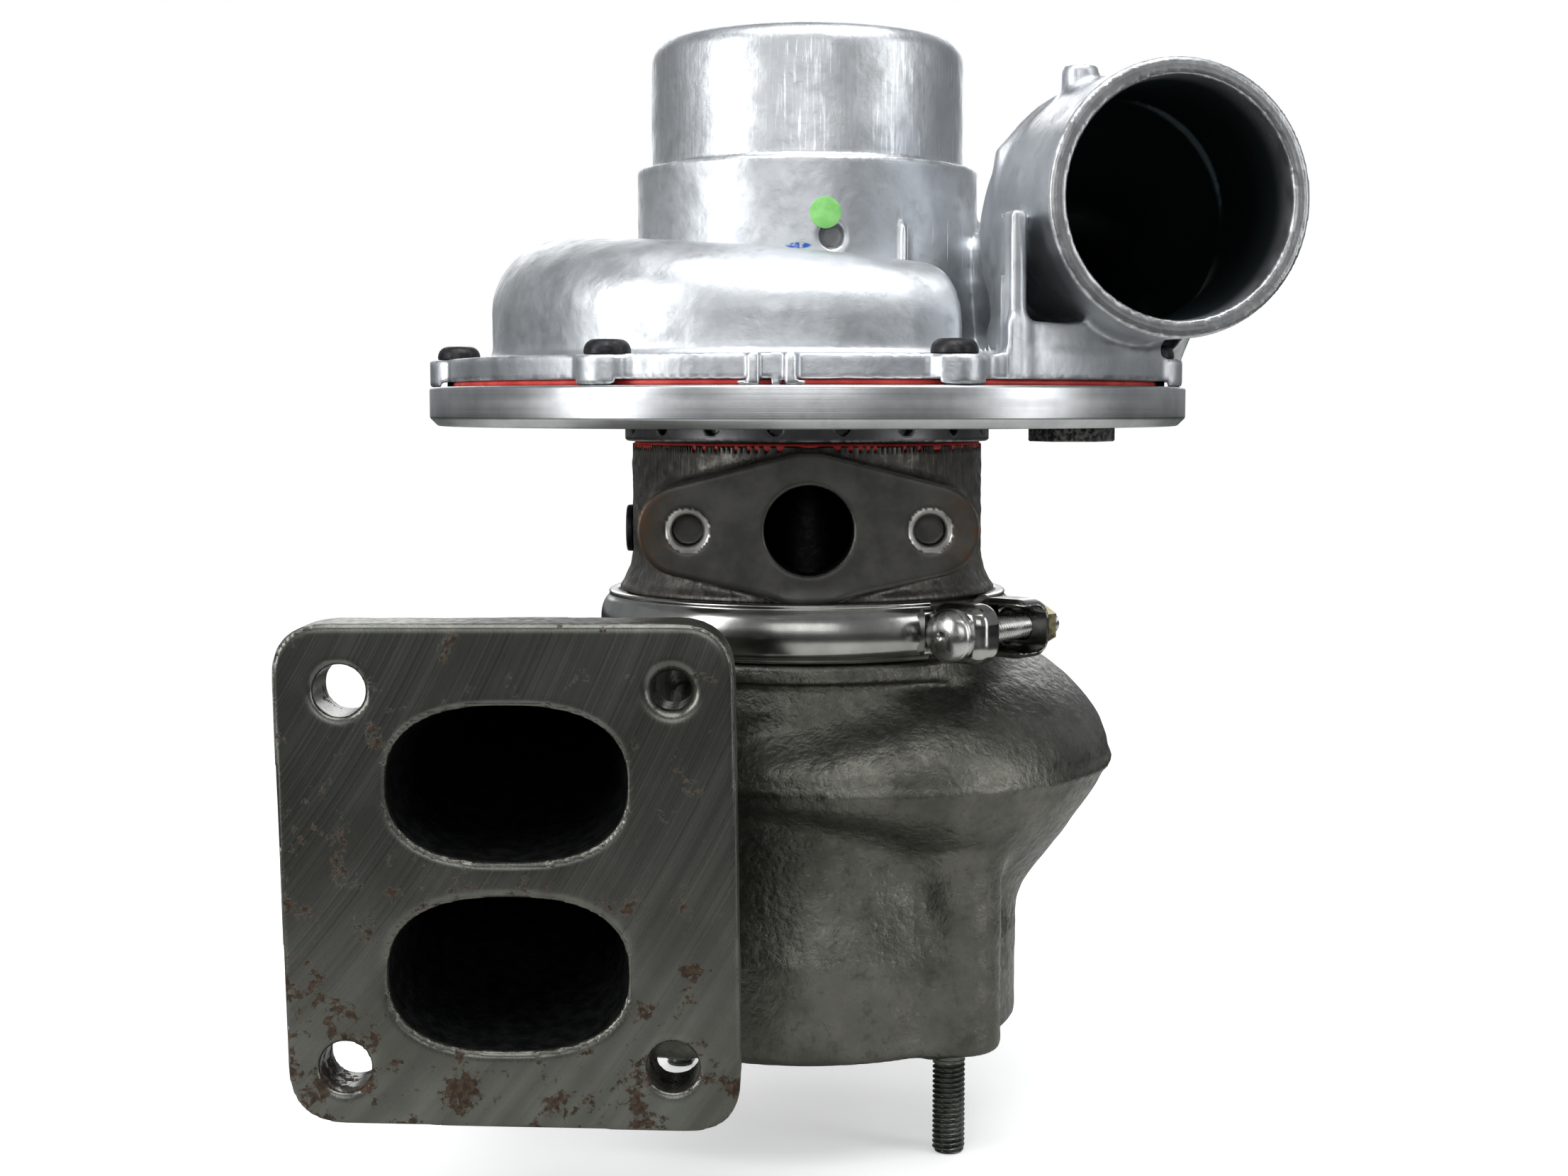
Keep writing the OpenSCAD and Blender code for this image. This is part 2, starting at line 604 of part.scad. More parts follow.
module turbine_housing() {
    boss_r = 10.5;
    color("darkslategray") difference() {
        union() {
            casting_scroll();
            turned([[20, 0], [exhaust_r - 1.5, 0], [exhaust_r, 1.5], [exhaust_r, 24], [50.6, 34],
                [50.6, 82], [47.5, 90], [49.6, 91], [49.6, 95.2], [45.6, 95.3],
                [v_rim_r, joint_z - 1.8], [v_rim_r, joint_z], [20, joint_z]]);
            for (a = concat(stud_a, tapped_a)) at(a, stud_r + 2.5, 0) cylinder(r = boss_r, h = 50);
            translate([inlet_c[0], 0, inlet_c[1]]) facing_front(-inlet_y, inlet_t)
                rounded_rect(inlet_w, inlet_h, 12);
        }
        gas_passage(1);
        gas_passage(-1);
        // twin nozzle slots that lead the gas onto the wheel, deeper along the scroll
        turned([[30, 83.4], [30, nozzle_top_z], [36, nozzle_top_z], [46, 81.7], [46, 75]]);
        turned([[30, nozzle_bottom_z], [30, 81.8], [46, 70.4], [46, 62.7]]);
        rotate_extrude(angle = 236, start = -58)
            polygon([[45, 75.7], [45, 82.3], [56, 75], [56, 68.5]]);
        rotate_extrude(angle = 236, start = -58)
            polygon([[45, 63.4], [45, 71.1], [56, 64], [56, 56]]);
        // wheel space, outlet diffuser, seat of the heat shield and of the bearing housing
        turned(concat([[0, -1], [exhaust_bore_d / 2, -1], [exhaust_bore_d / 2, 6], [30.4, exducer_z - 14]],
            [for (q = [0 : 15 : 90]) turbine_shroud(q, 0.4)],
            [[turbine_r + 0.4, 94.8], [40.6, 94.8], [40.6, joint_z + 1], [0, joint_z + 1]]));
        for (x = [-1, 1], z = [-1, 1])
            translate([inlet_c[0] + x * inlet_pitch[0] / 2, 0, inlet_c[1] + z * inlet_pitch[1] / 2])
                facing_front(-inlet_y - 1, inlet_t + 2) circle(x > 0 && z > 0 ? 4.25 : 5.6);
        for (a = stud_a) at(a, stud_r, -1) cylinder(r = stud_neck_r, h = 19);
        for (a = tapped_a) at(a, stud_r, -1) cylinder(r = 3.4, h = 19);
        at(200, 44.3, joint_z - 4) cylinder(r = 1.5, h = 5);
    }
}

module locating_pin() {
    color("silver") at(200, 44.3, joint_z - 4) cylinder(r = 1.5, h = 7);
}

module exhaust_studs() {
    color("dimgray") for (a = stud_a) at(a, stud_r, -stud_out) union() {
        cylinder(r1 = 3.2, r2 = 4, h = 0.8);
        translate([0, 0, 0.8 - eps]) cylinder(r = 4, h = stud_out - stud_neck_l - 0.8);
        translate([0, 0, 2]) cylinder(r = stud_neck_r, h = stud_out + 14);
    }
}

// ---------- V-band clamp ----------

clamp_gap = 13;
ear_l = 9;
bolt_d = 6;

// Places its children on the bolt's line: +X along the bolt, +Y outwards
module on_bolt() {
    translate([0, 0, joint_z]) rotate([0, 0, clamp_a]) translate([0, -bolt_r, 0])
        mirror([0, 1, 0]) children();
}

// One ear of the clamp: rounded block, hollow on the side that faces the gap
module clamp_ear() {
    wall = 1.6;
    difference() {
        rotate([90, 0, 90]) linear_extrude(ear_l) translate([-0.6, 0]) rounded_rect(17, clamp_h, 5);
        translate([wall, 0, 0]) rotate([90, 0, 90]) linear_extrude(ear_l)
            translate([1.6, 0]) rounded_rect(16, clamp_h - 2 * wall, 3.5);
        translate([-1, 0, 0]) rotate([0, 90, 0]) cylinder(r = bolt_d / 2 + 0.3, h = ear_l + 2);
    }
}

// The band, whose V-shaped inside grips both rims
module v_band() {
    h = clamp_h / 2;
    color("silver") union() {
        translate([0, 0, joint_z]) rotate([0, 0, clamp_a - 90 + clamp_gap])
            rotate_extrude(angle = 360 - 2 * clamp_gap)
                polygon([[48.1, h], [49.6, h], [51.6, h - 1.4], [clamp_r, h - 4], [clamp_r, 4 - h],
                    [51.6, 1.4 - h], [49.6, -h], [48.1, -h], [46.95, -5.3], [49.1, -1.75],
                    [49.4, -1], [49.4, 1], [49.1, 1.75], [46.4, 5]]);
        for (s = [-1, 1]) on_bolt() mirror([s < 0 ? 0 : 1, 0, 0]) translate([-14, 0, 0]) clamp_ear();
    }
}

module t_bolt() {
    color("silver") on_bolt() rotate([0, 90, 0]) union() {
        translate([0, 0, -14 - 4.4]) cylinder(r1 = 4.2, r2 = 6.2, h = 2);
        translate([0, 0, -14 - 2.4 - eps]) cylinder(r = 6.2, h = 2.4 + eps);
        translate([0, 0, -14 - eps]) cylinder(r = bolt_d / 2, h = 39);
    }
}

module clamp_washer() {
    color("silver") on_bolt() translate([14, 0, 0]) rotate([0, 90, 0]) difference() {
        cylinder(r = 6, h = 1.2);
        translate([0, 0, -1]) cylinder(r = bolt_d / 2 + 0.2, h = 4);
    }
}

module clamp_nut() {
    color("goldenrod") on_bolt() translate([15.2, 0, 0]) rotate([0, 90, 0]) difference() {
        cylinder(r = 5.77, h = 5.4, $fn = 6);
        translate([0, 0, -1]) cylinder(r = bolt_d / 2, h = 8);
    }
}

// ---------- rotor ----------

// Blade through stations: hub and shroud points, wrap angle, root and tip thickness
module blade(hub, shroud, wrap, root_t, tip_t) {
    skin([for (i = [0 : len(hub) - 1])
        let (h = hub[i], s = shroud[i], dh = root_t / 2 / h[0] * 180 / PI, ds = tip_t / 2 / s[0] * 180 / PI)
        [around(wrap[i] - dh, h[0], h[1]), around(wrap[i] + dh, h[0], h[1]),
            around(wrap[i] + ds, s[0], s[1]), around(wrap[i] - ds, s[0], s[1])]]);
}

module compressor_wheel() {
    qs = [for (q = [0 : 15 : 90]) q];
    // blades start a little inside the hub, so that they join it
    sunk = [for (q = qs) let (p = wheel_hub(q)) [max(8, p[0] - 1.2 * cos(q)), p[1] - 1.2 * sin(q)]];
    color("lightgray") difference() {
        union() {
            turned(concat([[0, wheel_back_z], [wheel_r, wheel_back_z]],
                [for (q = [90 : -10 : 0]) wheel_hub(q)], [[8, plate_top_z + 38.6], [0, plate_top_z + 38.6]]));
            for (i = [0 : wheel_blades - 1]) {
                rotate([0, 0, 360 / wheel_blades * i]) blade(sunk,
                    [for (q = qs) wheel_shroud(q)], [for (q = qs) 50 * sin(q) + 22 * (1 - cos(q))], 1.6, 0.8);
                rotate([0, 0, 360 / wheel_blades * (i + 0.5)]) blade([for (k = [2 : 6]) sunk[k]],
                    [for (k = [2 : 6]) wheel_shroud(qs[k])],
                    [for (k = [2 : 6]) 50 * sin(qs[k]) + 22 * (1 - cos(qs[k]))], 1.6, 0.8);
            }
        }
        translate([0, 0, 140]) cylinder(r = 4, h = 80);
    }
}

module turbine_wheel_and_shaft() {
    qs = [for (q = [0 : 15 : 90]) q];
    sunk = [for (q = qs) let (p = turbine_hub(q)) [p[0] - 1.5 * cos(q), p[1] + 1.2 * sin(q) + 0.3]];
    color("rosybrown") difference() {
        union() {
            turned(concat([[0, exducer_z - 1.5], [8.2, exducer_z - 1.5]],
                [for (q = [0 : 10 : 90]) turbine_hub(q)],
                [[turbine_r, 88.3], [12, 88.9], [9, 91.5], [9, 101], [journal_d / 2, 101],
                    [journal_d / 2, 138.5], [4, 138.5], [4, plate_top_z + 47], [0, plate_top_z + 47]]));
            translate([0, 0, exducer_z - 7]) cylinder(r = 7, h = 7, $fn = 6);
            for (i = [0 : turbine_blades - 1])
                rotate([0, 0, 360 / turbine_blades * i]) blade(sunk,
                    [for (q = qs) turbine_shroud(q)], [for (q = qs) 48 * (1 - sin(q))], 2.6, 1.3);
        }
        // groove of the turbine-side seal ring
        ring(12, 7.4, 97.3, 99);
    }
}

module thrust_collar() {
    color("lightgray") difference() {
        union() {
            translate([0, 0, 138.5]) cylinder(r = 11, h = thrust_z - 138.5 - 0.05);
            translate([0, 0, 138.6]) cylinder(r = 6.5, h = thrust_z + thrust_t + 0.05 - 138.6);
        }
        translate([0, 0, 130]) cylinder(r = 4, h = 20);
    }
}

module oil_flinger() {
    z0 = thrust_z + thrust_t + 0.05;
    color("gray") difference() {
        union() {
            translate([0, 0, z0]) cylinder(r = 11, h = 1.9);
            translate([0, 0, z0]) cylinder(r = 8, h = wheel_back_z - z0);
        }
        translate([0, 0, 130]) cylinder(r = 4, h = 40);
        ring(12, 6.8, 152.5, 154.2);
    }
}

module journal_bearing(z) {
    color("darkgoldenrod") difference() {
        ring(bearing_d / 2, journal_d / 2 + oil_gap, z, z + bearing_l);
        // oil holes
        for (a = [0 : 60 : 300]) at(a, 5, z + bearing_l / 2) rotate([0, 90, 0]) cylinder(r = 1, h = 5);
    }
}

module journal_bearing_lower() {
    journal_bearing(bearing_z[0]);
}

module journal_bearing_upper() {
    journal_bearing(bearing_z[1]);
}

compressor_cover();
cover_screws();
cover_o_ring();
seal_plate();
seal_plate_screws();
seal_plate_plug();
hub_ring();
housing_o_ring();
bearing_housing();
side_plug();
thrust_bearing();
oil_deflector();
bearing_circlips();
shaft_seal_rings();
heat_shield();
turbine_housing();
locating_pin();
exhaust_studs();
v_band();
t_bolt();
clamp_washer();
clamp_nut();
turbine_wheel_and_shaft();
thrust_collar();
oil_flinger();
compressor_wheel();
shaft_nut();
journal_bearing_lower();
journal_bearing_upper();
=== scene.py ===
import math
import bpy
import numpy as np
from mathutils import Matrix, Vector


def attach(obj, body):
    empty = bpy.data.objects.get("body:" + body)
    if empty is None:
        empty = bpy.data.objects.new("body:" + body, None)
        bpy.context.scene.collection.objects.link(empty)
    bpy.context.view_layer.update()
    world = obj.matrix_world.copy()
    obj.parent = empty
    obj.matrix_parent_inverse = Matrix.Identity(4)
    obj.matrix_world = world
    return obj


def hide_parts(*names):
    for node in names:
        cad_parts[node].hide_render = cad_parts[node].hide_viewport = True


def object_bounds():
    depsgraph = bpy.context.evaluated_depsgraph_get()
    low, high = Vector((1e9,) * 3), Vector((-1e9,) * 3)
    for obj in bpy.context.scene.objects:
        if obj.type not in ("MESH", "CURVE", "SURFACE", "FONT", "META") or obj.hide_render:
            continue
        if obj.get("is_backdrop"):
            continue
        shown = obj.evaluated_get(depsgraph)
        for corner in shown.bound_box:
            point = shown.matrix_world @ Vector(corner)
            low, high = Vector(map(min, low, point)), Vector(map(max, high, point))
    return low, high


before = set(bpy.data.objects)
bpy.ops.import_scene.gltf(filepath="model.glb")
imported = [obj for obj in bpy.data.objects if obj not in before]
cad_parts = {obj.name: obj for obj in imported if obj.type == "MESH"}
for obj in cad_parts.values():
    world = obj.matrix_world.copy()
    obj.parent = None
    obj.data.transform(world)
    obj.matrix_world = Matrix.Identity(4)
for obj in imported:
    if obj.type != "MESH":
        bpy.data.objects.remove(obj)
cad_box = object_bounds()
MM = 0.001
UP = (0, 0, 1)
rng = np.random.default_rng(11)


# ---------------------------------------------------------------- distance fields

def smooth_min(a, b, k):
    """Union of two distance fields with a fillet about k wide."""
    if k <= 0:
        return np.minimum(a, b)
    h = np.maximum(k - np.abs(a - b), 0) / k
    return np.minimum(a, b) - h * h * (k * 0.25)


def extruded(flat, along, edge=0.0):
    """Distance to a flat outline's prism, from its distance in the plane and along the axis."""
    flat, along = flat + edge, along + edge
    return np.minimum(np.maximum(flat, along), 0) + np.hypot(np.maximum(flat, 0), np.maximum(along, 0)) - edge


def polygon_distance(x, y, points):
    """Signed distance to a polygon, negative inside."""
    shape = np.broadcast(x, y).shape
    best = np.full(shape, 1e9)
    inside = np.zeros(shape, bool)
    for (ax, ay), (bx, by) in zip(points, points[1:] + points[:1]):
        ex, ey = bx - ax, by - ay
        wx, wy = x - ax, y - ay
        t = np.clip((wx * ex + wy * ey) / max(ex * ex + ey * ey, 1e-12), 0, 1)
        best = np.minimum(best, (wx - ex * t) ** 2 + (wy - ey * t) ** 2)
        if ay != by:
            inside ^= ((ay > y) != (by > y)) & (x < (bx - ax) * (y - ay) / (by - ay) + ax)
    return np.where(inside, -1, 1) * np.sqrt(best)


def rounded_rect(x, y, half_x, half_y, r):
    qx, qy = np.abs(x) - (half_x - r), np.abs(y) - (half_y - r)
    return np.hypot(np.maximum(qx, 0), np.maximum(qy, 0)) + np.minimum(np.maximum(qx, qy), 0) - r


class Field:
    """A block of distances on a grid, in millimetres."""

    def __init__(self, low, high, h):
        self.h = h
        self.low = np.array(low, float) - 2 * h
        n = np.ceil((np.array(high) + 2 * h - self.low) / h).astype(int) + 1
        self.axes = [(self.low[i] + h * np.arange(n[i])).astype(np.float32) for i in range(3)]
        self.f = np.full(n, 30, np.float32)

    def window(self, low, high, margin):
        cut = []
        for i in range(3):
            a = int((low[i] - margin - self.low[i]) / self.h) - 1
            b = int((high[i] + margin - self.low[i]) / self.h) + 3
            cut.append(slice(max(0, a), max(0, min(len(self.axes[i]), b))))
        x, y, z = (self.axes[i][cut[i]] for i in range(3))
        return tuple(cut), x[:, None, None], y[None, :, None], z[None, None, :]

    def add(self, shape, k=0.0):
        fn, low, high = shape
        cut, x, y, z = self.window(low, high, k + 2)
        self.f[cut] = smooth_min(self.f[cut], fn(x, y, z), k)

    def cut(self, shape, k=0.0):
        fn, low, high = shape
        cut, x, y, z = self.window(low, high, k + 2)
        self.f[cut] = -smooth_min(-self.f[cut], fn(x, y, z), k)

    def spread(self):
        """The three axes, shaped to broadcast over the block."""
        return [a.reshape([-1 if i == j else 1 for j in range(3)]) for i, a in enumerate(self.axes)]

    def noise(self, cell):
        """Smooth random values from -1 to 1 with the given spacing."""
        counts = [int(math.ceil(len(a) * self.h / cell)) + 3 for a in self.axes]
        g = rng.random(counts).astype(np.float32) * 2 - 1
        for axis in range(3):
            q = np.arange(len(self.axes[axis])) * self.h / cell
            i = q.astype(int)
            t = (q - i).astype(np.float32)
            t = (t * t * (3 - 2 * t)).reshape([-1 if a == axis else 1 for a in range(3)])
            g = np.take(g, i, axis) * (1 - t) + np.take(g, i + 1, axis) * t
        return g

    def sample(self, v):
        """Distance and gradient at points given in grid steps."""
        i = np.clip(v.astype(np.int32), 0, np.array(self.f.shape) - 2)
        t = (v - i).astype(np.float32)
        flat = self.f.ravel()
        sy, sx = self.f.shape[2], self.f.shape[1] * self.f.shape[2]
        base = i[:, 0] * sx + i[:, 1] * sy + i[:, 2]
        c = {(a, b, d): flat[base + a * sx + b * sy + d] for a in (0, 1) for b in (0, 1) for d in (0, 1)}
        tx, ty, tz = t.T
        x = {(b, d): c[0, b, d] * (1 - tx) + c[1, b, d] * tx for b in (0, 1) for d in (0, 1)}
        y = [x[0, d] * (1 - ty) + x[1, d] * ty for d in (0, 1)]
        gz = y[1] - y[0]
        gy = (x[1, 0] - x[0, 0]) * (1 - tz) + (x[1, 1] - x[0, 1]) * tz
        dx = {(b, d): c[1, b, d] - c[0, b, d] for b in (0, 1) for d in (0, 1)}
        gx = ((dx[0, 0] * (1 - ty) + dx[1, 0] * ty) * (1 - tz) + (dx[0, 1] * (1 - ty) + dx[1, 1] * ty) * tz)
        return y[0] * (1 - tz) + y[1] * tz, np.stack([gx, gy, gz], 1)

    def surface(self):
        """Vertices in millimetres and quads of the zero surface."""
        f = self.f
        inside = f < 0
        s = inside.view(np.uint8)
        s = s[:-1] + s[1:]
        s = s[:, :-1] + s[:, 1:]
        s = s[:, :, :-1] + s[:, :, 1:]
        active = (s > 0) & (s < 8)
        cells = np.argwhere(active)
        ids = np.full(active.shape, -1, np.int32)
        ids[active] = np.arange(len(cells))
        total = np.zeros((len(cells), 3), np.float32)
        count = np.zeros(len(cells), np.float32)
        corners = [np.array((a, b, c)) for a in (0, 1) for b in (0, 1) for c in (0, 1)]
        for a in corners:
            fa = f[tuple((cells + a).T)]
            for axis in range(3):
                if a[axis]:
                    continue
                step = np.eye(3, dtype=int)[axis]
                fb = f[tuple((cells + a + step).T)]
                cross = (fa < 0) != (fb < 0)
                t = np.where(cross, fa / np.where(fa == fb, 1, fa - fb), 0)
                total += cross[:, None] * (a + t[:, None] * step)
                count += cross
        v = cells + total / count[:, None]
        for _ in range(3):
            d, g = self.sample(v)
            move = g * (d / np.maximum((g * g).sum(1), 0.05))[:, None]
            v = np.clip(v - np.clip(move, -0.4, 0.4), cells - 0.1, cells + 1.1)
        quads = []
        for axis in range(3):
            u, w = (axis + 1) % 3, (axis + 2) % 3
            first, second = [slice(1, -1)] * 3, [slice(1, -1)] * 3
            first[axis], second[axis] = slice(0, -1), slice(1, None)
            a, b = inside[tuple(first)], inside[tuple(second)]
            e = np.argwhere(a != b)
            out = a[tuple(e.T)]
            e = e + np.array([0 if i == axis else 1 for i in range(3)])
            du, dw = np.eye(3, dtype=int)[u], np.eye(3, dtype=int)[w]
            ring = [ids[tuple((e - p).T)] for p in (du + dw, dw, np.zeros(3, int), du)]
            q = np.stack(ring, 1)
            q[~out] = q[~out][:, ::-1]
            quads.append(q)
        return (self.low + v * self.h).astype(np.float32), np.concatenate(quads)


def turned(profile):
    """Solid of revolution about the shaft's axis."""
    points = [tuple(p) for p in profile]
    r = max(p[0] for p in points)
    low = (-r, -r, min(p[1] for p in points))
    high = (r, r, max(p[1] for p in points))

    def fn(x, y, z):
        radius = np.hypot(x, y)[..., 0]
        step = 0.25
        rows = np.arange(0, radius.max() + 3 * step, step)
        table = polygon_distance(rows[:, None], z.ravel()[None, :], points).astype(np.float32)
        q = radius / step
        i = q.astype(int)
        t = (q - i)[..., None].astype(np.float32)
        return table[i] * (1 - t) + table[i + 1] * t
    return fn, low, high


def cylinder(start, axis, r, length, edge=0.0, grow=0.0):
    """Cylinder from start along a unit axis; grow is how much its radius gains per millimetre."""
    a, c = np.array(axis, float), np.array(start, float)
    ends = np.array([c, c + a * length])
    reach = r + max(0, grow) * length

    def fn(x, y, z):
        vx, vy, vz = x - c[0], y - c[1], z - c[2]
        t = vx * a[0] + vy * a[1] + vz * a[2]
        radial = np.sqrt(np.maximum(vx * vx + vy * vy + vz * vz - t * t, 0)) - r - grow * t
        return extruded(radial, np.abs(t - length / 2) - length / 2, edge)
    return fn, ends.min(0) - reach, ends.max(0) + reach


def block(centre, half, yaw=0.0, edge=0.0):
    c, s = math.cos(math.radians(yaw)), math.sin(math.radians(yaw))
    reach = math.hypot(half[0], half[1])
    low = (centre[0] - reach, centre[1] - reach, centre[2] - half[2])
    high = (centre[0] + reach, centre[1] + reach, centre[2] + half[2])

    def fn(x, y, z):
        px, py = x - centre[0], y - centre[1]
        flat = rounded_rect(px * c + py * s, -px * s + py * c, half[0], half[1], edge + 0.01)
        return extruded(flat, np.abs(z - centre[2]) - half[2], edge)
    return fn, low, high


def standing(flat, y0, y1, low, high, edge=0.0):
    """Prism of an outline in X and Z between two depths."""
    def fn(x, y, z):
        return extruded(flat(x, z), np.abs(y - (y0 + y1) / 2) - (y1 - y0) / 2, edge)
    return fn, (low[0], y0, low[1]), (high[0], y1, high[1])


def around(azimuth, r, z=0.0):
    a = math.radians(azimuth)
    return np.array([r * math.sin(a), -r * math.cos(a), z])


def smooth(t):
    t = np.clip(t, 0, 1)
    return t * t * (3 - 2 * t)


def mix(a, b, t):
    return a + (b - a) * t


# ---------------------------------------------------------------- meshes

def make(name, verts, faces, material, slot, body="casing", stands_for=(), sharp=32, **weights):
    """A piece from vertices in millimetres, with the named weights stored on its vertices."""
    verts = np.asarray(verts, np.float32)
    mesh = bpy.data.meshes.new(name)
    if isinstance(faces, np.ndarray):
        n, sides = faces.shape
        mesh.vertices.add(len(verts))
        mesh.vertices.foreach_set("co", (verts * MM).ravel())
        mesh.loops.add(n * sides)
        mesh.loops.foreach_set("vertex_index", faces.astype(np.int32).ravel())
        mesh.polygons.add(n)
        mesh.polygons.foreach_set("loop_start", np.arange(n, dtype=np.int32) * sides)
        mesh.update(calc_edges=True)
    else:
        mesh.from_pydata((verts * MM).tolist(), [], faces)
    mesh.validate()
    mesh.shade_smooth()
    if sharp:
        mesh.set_sharp_from_angle(angle=math.radians(sharp))
    for key, values in weights.items():
        layer = mesh.attributes.new(key, "FLOAT", "POINT")
        layer.data.foreach_set("value", values.astype(np.float32))
    obj = bpy.data.objects.new(name, mesh)
    bpy.context.scene.collection.objects.link(obj)
    mesh.materials.append(material)
    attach(obj, body)
    if stands_for:
        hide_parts(*stands_for)
    return obj


class Shape:
    """Collects the rings and faces of a small turned or swept piece."""

    def __init__(self):
        self.v, self.f = [], []

    def grid(self, rows, closed=True, caps=False):
        """rows: array (rows, points, 3). Joins neighbouring rows with quads."""
        rows = np.asarray(rows, float)
        m, n = rows.shape[:2]
        base = len(self.v)
        self.v.extend(rows.reshape(-1, 3).tolist())
        for i in range(m - 1):
            for j in range(n if closed else n - 1):
                k = (j + 1) % n
                a, b = base + i * n + j, base + i * n + k
                self.f.append((a, b, b + n, a + n))
        if caps:
            self.f.append(tuple(base + j for j in range(n - 1, -1, -1)))
            self.f.append(tuple(base + (m - 1) * n + j for j in range(n)))
        return self

    def place(self, origin, ex, ey, ez):
        """Moves what has been made so far from local axes into the row's."""
        m = np.array([ex, ey, ez], float)
        self.v = (np.array(self.v) @ m + np.array(origin, float)).tolist()
        return self

    def join(self, other):
        base = len(self.v)
        self.v.extend(other.v)
        self.f.extend(tuple(i + base for i in face) for face in other.f)
        return self


def circle_rows(profile, n=64, hexes=()):
    """Rows of points round Z; a profile row in hexes has its radius as a hexagon's half width across flats."""
    angle = np.arange(n) * 2 * math.pi / n
    six = 1 / np.cos((angle + math.pi / 6) % (math.pi / 3) - math.pi / 6)
    rows = []
    for i, (r, z) in enumerate(profile):
        radius = r * six if i in hexes else np.full(n, r)
        rows.append(np.stack([radius * np.cos(angle), radius * np.sin(angle), np.full(n, z)], 1))
    return np.array(rows)


def lathe(profile, n=64, hexes=(), caps=False):
    return Shape().grid(circle_rows(profile, n, hexes), caps=caps)


def rounded(points, r=0.4, steps=3):
    """Closed profile whose corners are rounded by r."""
    out = []
    n = len(points)
    for i in range(n):
        p, a, b = (np.array(points[j % n], float) for j in (i, i - 1, i + 1))
        u, w = a - p, b - p
        lu, lw = np.linalg.norm(u), np.linalg.norm(w)
        d = min(r, lu * 0.45, lw * 0.45)
        u, w = u / lu * d, w / lw * d
        for s in range(steps + 1):
            t = s / steps
            out.append(tuple(p + u * (1 - t) ** 2 + w * t * t))
    return out


def ring_piece(points, n=160, r=0.4):
    """Closed ring turned from a closed profile."""
    profile = rounded(points, r)
    profile.append(profile[0])
    rows = circle_rows(profile, n)
    s = Shape()
    s.grid(rows[:-1])
    m = len(rows) - 1
    for j in range(n):
        k = (j + 1) % n
        a, b = (m - 1) * n + j, (m - 1) * n + k
        s.f.append((a, b, k, j))
    return s


# ---------------------------------------------------------------- materials

